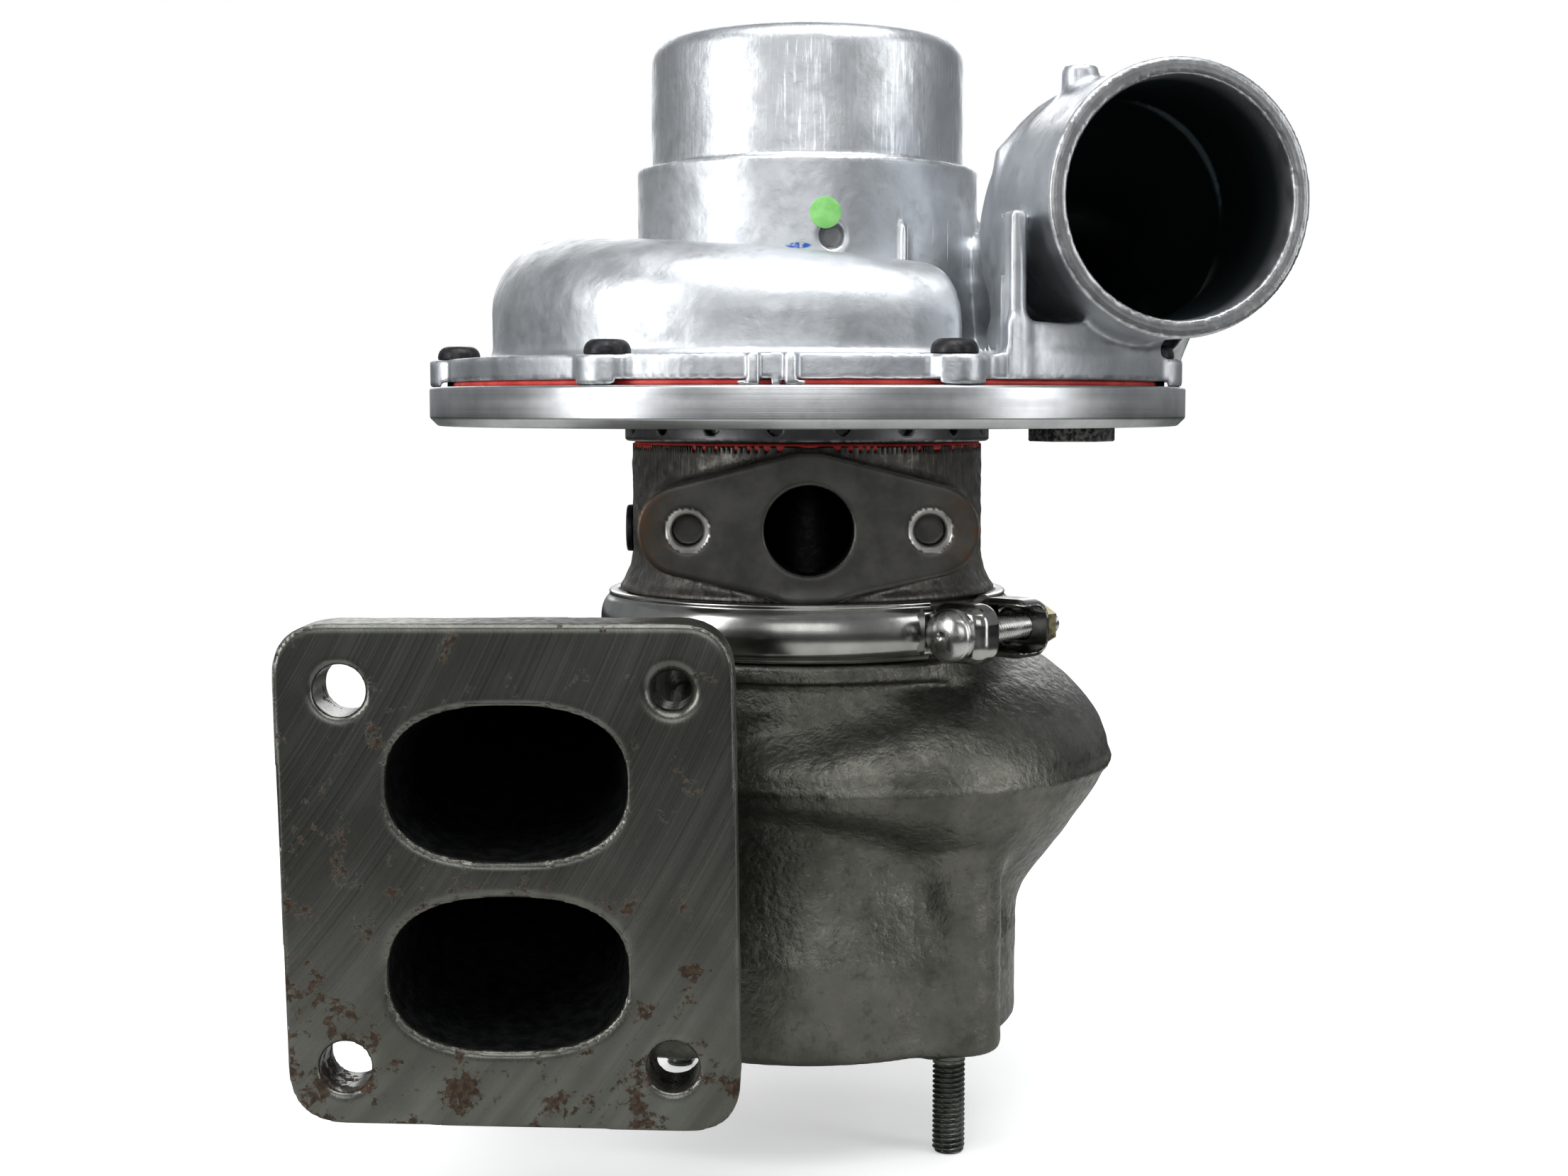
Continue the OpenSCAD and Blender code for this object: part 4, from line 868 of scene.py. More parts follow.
def scroll_outline(w, m):
    """Section of the casting beyond the base radius; m = 0 is the pointed scroll, m = 1 the full duct."""
    up, down = min(1.03 * w, 33), max(0.7 * w, min(2.3 * w - 24, 55))
    fullness = mix(2.6, 1.15, float(smooth((w - 16) / 12)))
    out = []
    for p in np.linspace(1, -1, 41):
        if p >= 0:
            out.append((w * math.cos(math.pi / 2 * p) ** (1.6 - 1.1 * m), PARTING_Z + up * math.sin(math.pi / 2 * p)))
        else:
            out.append((w * (1 - (-p) ** (fullness + 4 * m)), PARTING_Z + down * p))
    return [*out, (-16, PARTING_Z - down), (-16, PARTING_Z + up)]


def scroll_tables(values, z, outline):
    s = np.arange(-20, 70, 0.5)
    return np.array([polygon_distance(s[:, None], z[None, :], outline(v)) for v in values], np.float32)


def look_up(table, a, s):
    """Interpolates a table over its first index a and its second, s, measured from -20 in halves."""
    a = np.clip(a, 0, len(table) - 1.001)
    q = np.clip((s + 20) / 0.5, 0, table.shape[1] - 1.001)
    i, j = a.astype(int), q.astype(int)
    ta, tq = (a - i)[..., None], (q - j)[..., None]
    low = table[i, j] * (1 - tq) + table[i, j + 1] * tq
    high = table[i + 1, j] * (1 - tq) + table[i + 1, j + 1] * tq
    return low * (1 - ta) + high * ta


def casting_scroll():
    def fn(x, y, z):
        flat_x, flat_y = np.broadcast_arrays(x[..., 0], y[..., 0])
        radius = np.hypot(flat_x, flat_y)
        turn = np.degrees(np.arctan2(flat_x, -flat_y))
        turn = np.where(turn < -92, turn + 360, turn)
        widths = np.linspace(0.5, 48.5, 33)
        table = scroll_tables(widths, z.ravel(), lambda w: scroll_outline(w, 0))
        w = scroll_width(turn)
        d = look_up(table, (w - 0.5) / 1.5, radius - SCROLL_BASE)
        # the ridge left by the mould's parting
        ridge = np.hypot((radius - SCROLL_BASE - w + 0.4)[..., None], z - PARTING_Z) - 1.0
        d = smooth_min(d, ridge, 1.5)
        past = np.where(turn < 0, -50 - turn, turn - 273) * radius * math.pi / 180
        return np.maximum(d, past[..., None])
    return fn, (-100, -100, 8), (84, 100, 102)


def casting_duct():
    w = float(scroll_width(270.0))

    def fn(x, y, z):
        flat_x, flat_y = np.broadcast_arrays(x[..., 0], y[..., 0])
        shares = np.linspace(0, 1, 13)
        table = scroll_tables(shares, z.ravel(), lambda m: scroll_outline(w, m))
        t = smooth(-flat_y / 88)
        d = look_up(table, t * 12, -flat_x - SCROLL_BASE)
        return np.maximum(d, np.maximum(flat_y - 3, -90 - flat_y)[..., None])
    return fn, (-102, -92, 8), (-30, 5, 102)


def oval(u, w, a, b):
    return ((np.abs(u / a) ** 2.5 + np.abs(w / b) ** 2.5) ** 0.4 - 1) * np.minimum(a, b)


def gas_size(w, s):
    return (0.34 if s > 0 else 0.32) * w, 0.2 * w, SCROLL_BASE + (0.36 if s > 0 else 0.31) * w


def gas_spiral(s):
    def fn(x, y, z):
        radius = np.hypot(x, y)
        turn = np.degrees(np.arctan2(x, -y))
        turn = np.where(turn < -92, turn + 360, turn)
        w = scroll_width(np.clip(turn, 30, 270))
        a, b, c = gas_size(w, s)
        d = oval(radius - c, z - PARTING_Z - s * (2 + b), a, b)
        return np.maximum(d, np.maximum(30 - turn, turn - 273) * radius * math.pi / 180)
    return fn, (-96, -80, 40), (80, 96, 92)


def gas_duct(s):
    w = float(scroll_width(270.0))
    a0, b0, c0 = gas_size(w, s)

    def fn(x, y, z):
        q = smooth(-y / 103)
        a, b = mix(a0, PORT[0], q * q), mix(b0, PORT[1], q * q)
        d = oval(x + mix(c0, -INLET_C[0], q), z - mix(PARTING_Z + s * (2 + b0), INLET_C[1] + s * PORT_Z, q), a, b)
        return np.maximum(d, np.maximum(y - 3, -106 - y))
    return fn, (-94, -106, 16), (-36, 4, 96)


def build_turbine_housing():
    low, high = (-115, -103, 0), (82, 92, 112)
    field = Field(low, high, 0.9)
    outer = [(20, 0), (52.5, 0), (54, 1.5), (54, 24), (51.5, 34), (50.4, 42), (50, 60), (48.5, 84), (47.3, 89.5),
             (47.6, 90.6), (49.6, 91), (49.6, 95.2), (45.6, 95.3), (49, 100.9), (49, 102.7), (20, 102.7)]
    field.add(turned(outer))
    field.add(casting_scroll(), 7.0)
    field.add(casting_duct(), 8.0)
    for a in STUD_AZIMUTHS + TAPPED_AZIMUTHS:
        field.add(cylinder(around(a, 51.5, 0), UP, 10.5, 50, 2.0), 5.0)
    x, y, z = field.spread()
    radius = np.hypot(x, y)
    cast = smooth((z - 0.6) / 2) * (1 - smooth((z - 89.5) / 1.5) * (radius < 56))
    field.f += (0.13 * field.noise(5.5) + 0.10 * field.noise(2.6)) * cast
    corners = rounded([(-49.4, 54.65), (48.0, 54.65), (49.6, -54.9), (-46.9, -52.5)], 12, 8)
    corners = [(px + INLET_C[0], pz + INLET_C[1]) for px, pz in corners]
    flat = lambda px, pz: polygon_distance(px, pz, corners)
    plate = Field(low, high, field.h)
    plate.add(standing(flat, -102, -87, (-114, 0.5), (-15, 111), 0.5))
    waves = smooth((y + 101.2) / 1.6)
    plate.f += (0.16 * plate.noise(9) + 0.08 * plate.noise(3)) * waves
    field.f = smooth_min(field.f, plate.f, 4.0)
    for s in (1, -1):
        field.cut(gas_spiral(s), 1.0)
        field.cut(gas_duct(s), 1.0)
    field.cut(turned([(30, 83.4), (30, 88.6), (36, 88.6), (46, 81.7), (46, 75)]))
    field.cut(turned([(30, 76.6), (30, 81.8), (46, 70.4), (46, 62.7)]))
    field.cut(turned([(49.75, 95.1), (60, 95.1), (60, 111), (49.75, 111)]), 0.5)
    shroud = [(34.4 - 4.5 * math.cos(math.radians(q)), 52.6 + 24 * math.sin(math.radians(q)) - 0.4 * math.sin(
        math.radians(q))) for q in range(0, 91, 10)]
    field.cut(turned([(-5, -3), (35, -3), (35, 6), (30.4, 38.6), *shroud, (34.4, 94.8), (40.6, 94.8), (40.6, 106),
                      (-5, 106)]), 0.4)
    for i in (-1, 1):
        for j in (-1, 1):
            at = (INLET_C[0] + INLET_HOLE_X * i, -104, INLET_C[1] + INLET_HOLE_Z * j)
            r = 4.25 if i > 0 and j > 0 else 5.6
            field.cut(cylinder(at, (0, 1, 0), r, 20))
            chamfer = 1.7 if r < 5 else 0.5
            field.cut(cylinder((at[0], -102.6, at[2]), (0, 1, 0), r + chamfer + 0.6, chamfer + 0.6, grow=-1))
    for a in STUD_AZIMUTHS:
        field.cut(cylinder(around(a, STUD_R, -3), UP, 3.85, 21))
    for a in TAPPED_AZIMUTHS:
        field.cut(cylinder(around(a, STUD_R, -3), UP, 3.4, 21))
    verts, quads = field.surface()
    px, py, pz = verts.T
    radius = np.hypot(px, py)
    on_face = (py < TURBINE_INLET_Y + 0.4) & (px < -10)
    machined = on_face | (pz < 0.4) | ((pz > 95.6) & (radius < 49.4))
    du, dw = np.abs(px - INLET_C[0]), np.abs(pz - INLET_C[1])
    hole = (np.hypot(du - INLET_HOLE_X, dw - INLET_HOLE_Z) < 7.6) & (py < -80)
    machined |= hole
    # inside weight: where the soot and painted shade colour goes, in the gas passages and, at three quarters, the bore
    inside = np.zeros(len(verts))
    for s in (1, -1):
        inside = np.maximum(inside, (gas_duct(s)[0](px, py, pz) < 0.9) & (py > -100.6))
        inside = np.maximum(inside, gas_spiral(s)[0](px, py, pz) < 0.9)
    inside = np.maximum(inside, 0.75 * ((radius < 36.5) & (pz > 1.5)))
    make("TurbineHousing", verts, quads, TURBINE_IRON, "turbine_iron", "casing", ["turbine_housing"],
         sharp=0, machined=machined, inside=inside)


# ---------------------------------------------------------------- bearing housing

JOINT_Z, DECK_Z, BARREL_R = 102.7, 146.9, 44.4
DRAIN_Y, DRAIN_Z, DRAIN_HOLE_X = -48.0, 127.0, 28.5


def drain_outline():
    """Convex outline round two end circles and the blunt points above and below."""
    points = [(s * 29.4 + 11 * math.cos(a), 11 * math.sin(a)) for s in (-1, 1)
              for a in np.linspace(0, 2 * math.pi, 64, endpoint=False)]
    points += [(a, b) for a in (-3, 3) for b in (-17.0, 18.1)]
    points = sorted(set(points))
    hull = []
    for part in (points, points[::-1]):
        side = []
        for p in part:
            while len(side) > 1 and ((side[-1][0] - side[-2][0]) * (p[1] - side[-2][1])
                                     - (side[-1][1] - side[-2][1]) * (p[0] - side[-2][0])) <= 0:
                side.pop()
            side.append(p)
        hull += side[:-1]
    return [(px, pz + DRAIN_Z) for px, pz in hull]


def build_bearing_housing():
    low, high = (-52, -50, 95), (52, 49, 149)
    field = Field(low, high, 0.6)
    field.add(turned([(9.3, 97), (34, 97), (34, 96), (40.5, 96), (40.5, JOINT_Z), (49, JOINT_Z),
                      (49, JOINT_Z + 1.8), (45.8, JOINT_Z + 5.6), (45.8, JOINT_Z + 6.6), (47.8, JOINT_Z + 7),
                      (47.8, JOINT_Z + 8), (46.6, JOINT_Z + 9.6), (45.3, JOINT_Z + 12.5), (BARREL_R, JOINT_Z + 17),
                      (BARREL_R, DECK_Z), (9.3, DECK_Z)]))
    outline = drain_outline()
    flat = lambda px, pz: polygon_distance(px, pz, outline)
    field.add(cylinder((0, 30, DRAIN_Z + 8), (0, 1, 0), 11, 17, 0.8), 3.0)
    _, y, z = field.spread()
    cast = smooth((z - JOINT_Z - 8) / 2) * smooth((DECK_Z - 3 - z) / 2)
    field.f += (0.20 * field.noise(4) + 0.14 * field.noise(1.9)) * cast
    pad = Field(low, high, field.h)
    pad.add(standing(flat, -48, -22, (-41, 108), (41, 146), 0.7))
    waves = smooth((y + 47.2) / 1.2)
    pad.f += 0.12 * pad.noise(3) * waves
    field.f = smooth_min(field.f, pad.f, 2.2)
    for shape in (cylinder((0, 0, 90), UP, 9.3, 13), cylinder((0, 0, 101.5), UP, 11.5, 3.5),
                  cylinder((0, 0, 100), UP, 8.55, 48), cylinder((0, 0, 118.3), UP, 11, 5.4),
                  cylinder((0, 0, 138), UP, 12, 12), cylinder((0, 0, 141), UP, 20, 12),
                  turned([(13, 105), (35.5, 105), (35.5, 136.5), (13, 136.5)]),
                  cylinder((0, -14, DRAIN_Z), (0, -1, 0), 10.6, 40, 0.3),
                  cylinder((0, 36, DRAIN_Z + 8), (0, 1, 0), 4.5, 14),
                  cylinder((-BARREL_R - 2, 0, 125), (1, 0, 0), 5.4, 9),
                  turned([(42.0, DECK_Z - 1.7), (44.0, DECK_Z - 1.7), (44.0, DECK_Z + 3), (42.0, DECK_Z + 3)])):
        field.cut(shape)
    for s in (-1, 1):
        field.cut(cylinder((DRAIN_HOLE_X * s, -50, DRAIN_Z), (0, 1, 0), 3.8, 9))
        field.cut(cylinder((DRAIN_HOLE_X * s, -48.6, DRAIN_Z), (0, 1, 0), 5.9, 2.4, grow=-1))
    verts, quads = field.surface()
    px, py, pz = verts.T
    radius = np.hypot(px, py)
    on_face = py < DRAIN_Y + 0.4
    from_hole = np.hypot(np.abs(px) - DRAIN_HOLE_X, pz - DRAIN_Z)
    hole = (from_hole < 6.2) & (py < -30)
    machined = on_face | hole | (pz > DECK_Z - 0.4) | (pz < JOINT_Z + 6.8)
    bright = (from_hole > 3.7) & (from_hole < 6.1) & (py > DRAIN_Y + 0.2) & (py < DRAIN_Y + 3)
    port = np.hypot(px, pz - DRAIN_Z)
    # inside weight: near-black painted shade in the oil port and the bore
    inside = ((port < 11.2) & (py > -47.3) & (py < 0)) | (radius < 36)
    make("BearingHousing", verts, quads, BEARING_IRON, "bearing_iron", "casing", ["bearing_housing"],
         sharp=0, machined=machined, inside=inside, bright=bright)


# ---------------------------------------------------------------- small pieces

PLATE_R, PLATE_BOTTOM = 95.0, 151.2
HUB_RING_R, HUB_RING_T = 46.3, 3.8
CLAMP_AZIMUTH, CLAMP_GAP, CLAMP_HALF_H = 48, 13, 7.2
BOLT_R = 58.5


def merged(*parts):
    """One list of vertices and one of faces from several (vertices, faces)."""
    verts, faces = [], []
    for v, f in parts:
        base = len(verts)
        verts.extend(np.asarray(v).tolist())
        faces.extend(tuple(int(i) + base for i in face) for face in f)
    return verts, faces


def standing_at(azimuth, r, z):
    """Origin and axes on an azimuth: X outwards, Z up."""
    out = around(azimuth, 1.0)
    return around(azimuth, r, z), out, np.cross(UP, out), UP


def on_bolt():
    """Origin and axes of the clamp's bolt: X along it, Y outwards."""
    a = math.radians(CLAMP_AZIMUTH)
    along, out = np.array([math.cos(a), math.sin(a), 0]), np.array([math.sin(a), -math.cos(a), 0])
    return out * BOLT_R + np.array([0, 0, JOINT_Z]), along, out, UP


def piece(name, shape, material, slot, body="casing", stands_for=(), sharp=32):
    make(name, shape.v, shape.f, material, slot, body, stands_for, sharp)


def thread_rows(r, pitch, z0, z1, depth, lead=1.5, n=36):
    """Rows of a threaded rod that starts with a chamfer at z0."""
    z = np.arange(z0, z1 + pitch / 20, pitch / 10)[:, None]
    angle = np.arange(n)[None, :] * 2 * math.pi / n
    phase = np.mod(z / pitch - angle / (2 * math.pi), 1)
    groove = np.clip(1.2 - np.abs(phase - 0.5) * 2 * 1.35, 0, 1) * smooth((z1 - z) / lead)
    radius = np.minimum(r - depth * groove, r - depth + 0.1 + (z - z0) * 0.9)
    return np.stack([radius * np.cos(angle), radius * np.sin(angle), z + 0 * angle], 2)


def button_screw():
    """Button head with a hexagon socket, its seat at z = 0."""
    dome = [(5.25 - 2.35 * (1 - math.cos(math.radians(a))), 0.55 + 2.75 * math.sin(math.radians(a)))
            for a in range(0, 91, 10)]
    profile = [(2.0, 1.4), (2.0, 3.05), (2.55, 3.3), *dome[::-1], (5.2, 0.15), (5.0, 0), (3, 0), (3, -13)]
    return lathe(profile, 48, hexes=(0, 1), caps=True)


def build_screws():
    screws = Shape()
    for i, a in enumerate(SCREW_AZIMUTHS):
        origin, out, side, up = standing_at(a, SCREW_R, FLANGE_TOP)
        turn = rng.random() * math.pi / 3
        ex, ey = out * math.cos(turn) + side * math.sin(turn), side * math.cos(turn) - out * math.sin(turn)
        screws.join(button_screw().place(origin, ex, ey, up))
    piece("CoverScrews", screws, BLACK, "black_steel", stands_for=["cover_screws"])


def seal_ring(r, z, thick, wave):
    """Rubber ring, pressed out a little unevenly along its length."""
    n, m = 240, 14
    a = np.arange(n) * 2 * math.pi / n
    swell = sum(rng.random() * np.sin(k * a + rng.random() * 6.28) for k in (3, 5, 8, 13, 21)) * wave
    b = np.arange(m) * 2 * math.pi / m
    radius = r + swell[:, None] + thick * np.cos(b)
    rows = np.stack([radius * np.sin(a)[:, None], -radius * np.cos(a)[:, None],
                     z + thick * np.sin(b)[None, :] + 0 * radius], 2)
    return Shape().grid(np.concatenate([rows, rows[:1]]))


def build_seals():
    piece("CoverORing", seal_ring(88.6, PLATE_TOP + 0.62, 0.6, 0.08), RED, "red_seal", stands_for=["cover_o_ring"])
    piece("HousingORing", seal_ring(43.2, DECK_Z - 0.6, 1.0, 0.04), RED, "red_seal", stands_for=["housing_o_ring"])


def build_plate():
    recess = PLATE_TOP - 3
    points = [(8.4, DECK_Z + 3), (13, DECK_Z + 3), (13, DECK_Z), (29.9, DECK_Z), (29.9, PLATE_BOTTOM),
              (PLATE_R - 2, PLATE_BOTTOM), (PLATE_R, PLATE_BOTTOM + 2), (PLATE_R, PLATE_TOP - 0.5),
              (PLATE_R - 0.5, PLATE_TOP), (38.6, PLATE_TOP),
              (38.6, recess), (8.4, recess)]
    piece("SealPlate", ring_piece(points, 240, 0.45), PLATE, "turned_aluminium", stands_for=["seal_plate"])
    hexagon = [(8.0, -3.4), (8.55, -3.4), (8.83, -3.1), (8.83, -0.25), (8.6, 0), (6, 0), (6, 5.9)]
    plug = lathe(hexagon, 96, hexes=(0, 1, 2, 3, 4), caps=True)
    piece("SealPlatePlug", plug.place(*standing_at(58, 73.6, PLATE_BOTTOM)), BLACK, "black_steel",
          stands_for=["seal_plate_plug"])
    field = Field((-47, -47, PLATE_BOTTOM - HUB_RING_T), (47, 47, PLATE_BOTTOM), 0.5)
    field.add(turned([(30, PLATE_BOTTOM - HUB_RING_T), (HUB_RING_R - 0.5, PLATE_BOTTOM - HUB_RING_T),
                      (HUB_RING_R, PLATE_BOTTOM - HUB_RING_T + 0.5), (HUB_RING_R, PLATE_BOTTOM), (30, PLATE_BOTTOM)]))
    for i in range(18):
        out = around(10 + 20 * i, 1.0)
        field.cut(cylinder(out * (HUB_RING_R - 3) + np.array([0, 0, PLATE_BOTTOM]), out, 2, 8), 0.4)
    make("HubRing", *field.surface(), HUB, "turned_aluminium", stands_for=["hub_ring"])


def build_side_plug():
    field = Field((-46.6, -6.5, 118.5), (-37, 6.5, 131.5), 0.2)
    field.add(cylinder((-BARREL_R - 1.6, 0, 125), (1, 0, 0), 6, 1.7, 0.5))
    field.add(cylinder((-BARREL_R - 0.5, 0, 125), (1, 0, 0), 5.4, 7.5), 0.2)
    field.cut(block((-BARREL_R - 1.6, 0, 125), (1.0, 0.9, 9)), 0.2)
    make("SidePlug", *field.surface(), BLACK, "black_steel", stands_for=["side_plug"])


def build_clamp():
    h = CLAMP_HALF_H
    arc = [math.radians(a) for a in range(66, -85, -12)]
    outer = [(48.3, h), (50.2, h), (50.7, h - 0.5), (50.4, h - 1.2),
             *[(49.5 + 3.2 * math.cos(a), 6.0 * math.sin(a)) for a in arc], (49.6, -6.9), (48.2, -h)]
    inner = [(47.1, -5.5), (49.2, -1.8), (49.5, -1), (49.5, 1), (49.2, 1.8), (46.6, 5)]
    section = np.array(rounded(outer + inner, 0.5, 3))
    first, last = CLAMP_AZIMUTH + CLAMP_GAP, CLAMP_AZIMUTH + 360 - CLAMP_GAP
    rows = np.array([[around(a, r, JOINT_Z + z) for r, z in section] for a in np.linspace(first, last, 200)])
    strap = Shape().grid(rows, caps=True)
    # the folded ends of the strap lie on the band beside the ears
    for s in (-1, 1):
        edge = rounded([(52.2, 5.6), (53.5, 5.0), (53.5, -5.0), (52.2, -5.6), (51.5, -5.6), (51.5, 5.6)], 0.6, 3)
        angles = np.linspace(CLAMP_AZIMUTH + s * 17.2, CLAMP_AZIMUTH + s * 9, 12)
        patch = np.array([[around(a, r, JOINT_Z + z) for r, z in edge] for a in angles])
        strap.join(Shape().grid(patch if s < 0 else patch[:, ::-1], caps=True))
    origin, along, out, up = on_bolt()

    def local(x, y, z):
        vx, vy, vz = x - origin[0], y - origin[1], z - origin[2]
        return vx * along[0] + vy * along[1], vx * out[0] + vy * out[1], vz

    def ear(side):
        def fn(x, y, z):
            u, v, w = local(x, y, z)
            u = u * side - 5
            body = extruded(rounded_rect(v + 0.6, w, 8.5, h, 5), np.abs(u - 4.5) - 4.5, 3.2 if side < 0 else 1.6)
            open_out = 0 if side < 0 else 2.2
            hollow = extruded(rounded_rect(v + 0.6 - open_out, w, 6.9 + open_out, h - 1.6, 3.4),
                              np.abs(u + 3.6) - 11.0 + 0 * v, 2.0)
            bore = np.hypot(v, w) - 3.3
            return np.maximum(np.maximum(body, -hollow), -bore)
        return fn
    field = Field(origin - np.array([18, 18, 8]), origin + np.array([18, 18, 8]), 0.26)
    for side in (-1, 1):
        field.add((ear(side), field.low + 0, field.low + field.h * np.array(field.f.shape)))
    verts, faces = merged((strap.v, strap.f), field.surface())
    make("VBand", verts, faces, STRAP, "polished_steel", stands_for=["v_band"], sharp=40)

    down_bolt = (origin, np.cross(up, along), up, along)
    dome = [(6.2 * math.cos(math.radians(a)), -16.4 - 2.9 * math.sin(math.radians(a))) for a in range(0, 76, 7)]
    head = [(0.35, -18.75), (0.8, -18.85), (1.25, -19.15), *dome[::-1], (5.95, -16.25), (5.95, -16.0), (6.2, -15.8),
            (6.2, -14.3), (5.9, -14), (3, -14), (3, -1.0)]
    bolt = lathe(head, 48, caps=True)
    rows = thread_rows(3, 1.0, -25, 2, 0.55)
    bolt.join(Shape().grid(rows * (1, -1, -1), caps=True))
    piece("TBolt", bolt.place(origin, np.cross(up, along), up, along), BOLT, "polished_steel", stands_for=["t_bolt"])
    washer = ring_piece([(3.2, 14.02), (6, 14.02), (6, 15.2), (3.2, 15.2)], 48, 0.25)
    piece("ClampWasher", washer.place(*down_bolt), BOLT, "polished_steel", stands_for=["clamp_washer"])
    nut = lathe([(2.95, 20.6), (3.5, 20.6), (4.6, 20.6), (5.0, 20.25), (5.0, 15.5), (4.7, 15.2), (2.95, 15.2)], 72,
                hexes=(3, 4))
    piece("ClampNut", nut.place(*down_bolt), ZINC, "yellow_zinc", stands_for=["clamp_nut"])


def build_studs():
    studs = Shape()
    for a in STUD_AZIMUTHS:
        rows = thread_rows(4, 1.25, -STUD_OUT, -3.2, 0.78)
        neck = circle_rows([(3.85, -3.1), (3.85, 10)], rows.shape[1])
        studs.join(Shape().grid(np.concatenate([rows, neck]), caps=True).place(*standing_at(a, STUD_R, 0)))
    piece("ExhaustStuds", studs, STUD, "stud_steel", stands_for=["exhaust_studs"])


def build_sticker():
    azimuth, z, r = STICKER_AZIMUTH, STICKER_Z, STICKER_R
    rows = []
    for radius, lift in ((0.05, 0.28), (r * 0.5, 0.28), (r - 0.15, 0.27), (r, 0.2), (r, -0.3)):
        rows.append([around(azimuth + math.degrees(radius * math.sin(t) / COLLAR_R), COLLAR_R + lift,
                            z + radius * math.cos(t)) for t in np.arange(48) * 2 * math.pi / 48])
    piece("PaintDot", Shape().grid(rows, caps=True), GREEN, "cast_aluminium")


# ---------------------------------------------------------------- rotor

ROD_START, ROD_END = 138.5, 207.7
WHEEL_R, TURBINE_R = 38, 34
WHEEL_BASE, TURBINE_BASE = PLATE_TOP - 0.2, 52.6


def compressor_shroud(q, gap=0):
    return WHEEL_R + gap - 11 * math.cos(q), WHEEL_BASE + 5 + gap + 29.5 * (1 - math.sin(q))


def compressor_hub(q):
    return WHEEL_R - 29 * math.cos(q), WHEEL_BASE + 36.5 * (1 - math.sin(q))


def turbine_shroud(q):
    return TURBINE_R - 4.5 * math.cos(q), TURBINE_BASE + 24 * math.sin(q)


def turbine_hub(q):
    return TURBINE_R - 24.5 * math.cos(q), TURBINE_BASE + 35.2 * math.sin(q)


def blade(hub, shroud, wrap, first, turn, root, tip, bury):
    """Closed blade between a hub and a shroud line; wrap gives its angle, in degrees, along them."""
    spans = np.linspace(0, 1, 6)
    rows = []
    stations = np.linspace(math.radians(first), math.pi / 2, 19)
    for i, q in enumerate(stations):
        (hr, hz), (sr, sz) = hub(q), shroud(q)
        hr, hz = hr + bury[0] * math.cos(q), hz + bury[1] * math.sin(q)
        thin = 0.45 if i in (0, len(stations) - 1) else 1
        ring = []
        for side in (1, -1):
            for t in spans if side > 0 else spans[::-1]:
                r, z = mix(hr, sr, t), mix(hz, sz, t)
                half = side * mix(root, tip, t) / 2 * thin / r
                lean = 4 * math.sin(t * math.pi) * math.cos(q)
                ring.append(around(wrap(q) + turn + lean + math.degrees(half), r, z))
        rows.append(ring)
    return Shape().grid(np.array(rows)[::-1], caps=True)


def build_rotor():
    arc = [math.radians(a) for a in range(0, 91, 5)]
    back = PLATE_TOP - 2.4
    wheel = Shape()
    hub = [compressor_hub(q) for q in arc]
    wheel.grid(circle_rows([(4, hub[0][1] + 2.1), (7.4, hub[0][1] + 2.1), (8.4, hub[0][1] + 1.6), *hub,
                            (38, back), (12, back), (4, back), (4, hub[0][1] + 2.1)], 120))
    wrap = lambda q: 50 * math.sin(q) + 22 * (1 - math.cos(q))
    for i in range(6):
        wheel.join(blade(compressor_hub, compressor_shroud, wrap, 0, 60 * i, 1.6, 0.8, (-1.2, -1.2)))
        wheel.join(blade(compressor_hub, compressor_shroud, wrap, 30, 60 * i + 30, 1.6, 0.8, (-1.2, -1.2)))
    piece("CompressorWheel", wheel, WHEEL, "turned_aluminium", "rotor", ["compressor_wheel"])

    profile = [(0.05, 44.6), (2.2, 44.6), (2.6, 45.6), (5.6, 45.6), (6.06, 46.1), (6.06, 50.4), (6.6, 51.1),
               (8.2, 51.3), *[turbine_hub(q) for q in arc], (TURBINE_R, 88.3), (12, 88.9), (9, 91.5), (9, 97.3),
               (7.4, 97.4), (7.4, 98.9),
               (9, 99), (9, 101), (5.5, 101), (5.5, 138.5), (4, 138.5)]
    hub = circle_rows(profile, 120, hexes=(3, 4, 5))
    rod = thread_rows(4, 1.0, ROD_START, ROD_END, 0.5, n=120)[60:]
    rod = rod * (1, 1, -1) + (0, 0, ROD_START + ROD_END)
    turbine = Shape().grid(np.concatenate([hub, rod[::-1]]), caps=True)
    spiral = lambda q: 48 * (1 - math.sin(q))
    for i in range(10):
        turbine.join(blade(turbine_hub, turbine_shroud, spiral, 0, 36 * i, 2.6, 1.3, (-1.5, 1.5)))
    piece("TurbineWheelAndShaft", turbine, ALLOY, "dark_alloy", "rotor", ["turbine_wheel_and_shaft"])

    z = PLATE_TOP + 38.6
    nut = lathe([(4, z), (7.2, z), (7.2, z + 1.2), (6.3, z + 1.4), (6.06, z + 1.8), (6.06, z + 7.0), (5.6, z + 7.5),
                 (4.4, z + 7.5), (4.0, z + 7.1), (4, z)], 96, hexes=(4, 5))
    piece("ShaftNut", nut, BOLT, "plain_steel", "rotor", ["shaft_nut"])


def finish_hidden_nodes():
    """Materials for the CAD parts that are shown as they are."""
    looks = {"seal_plate_screws": BLACK, "thrust_bearing": BRONZE, "oil_deflector": STEEL, "bearing_circlips": STEEL,
             "shaft_seal_rings": STEEL, "heat_shield": ALLOY, "locating_pin": STEEL, "thrust_collar": STEEL,
             "oil_flinger": STEEL, "journal_bearing_lower": BRONZE, "journal_bearing_upper": BRONZE}
    for name, look in looks.items():
        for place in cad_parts[name].material_slots:
            place.material = look


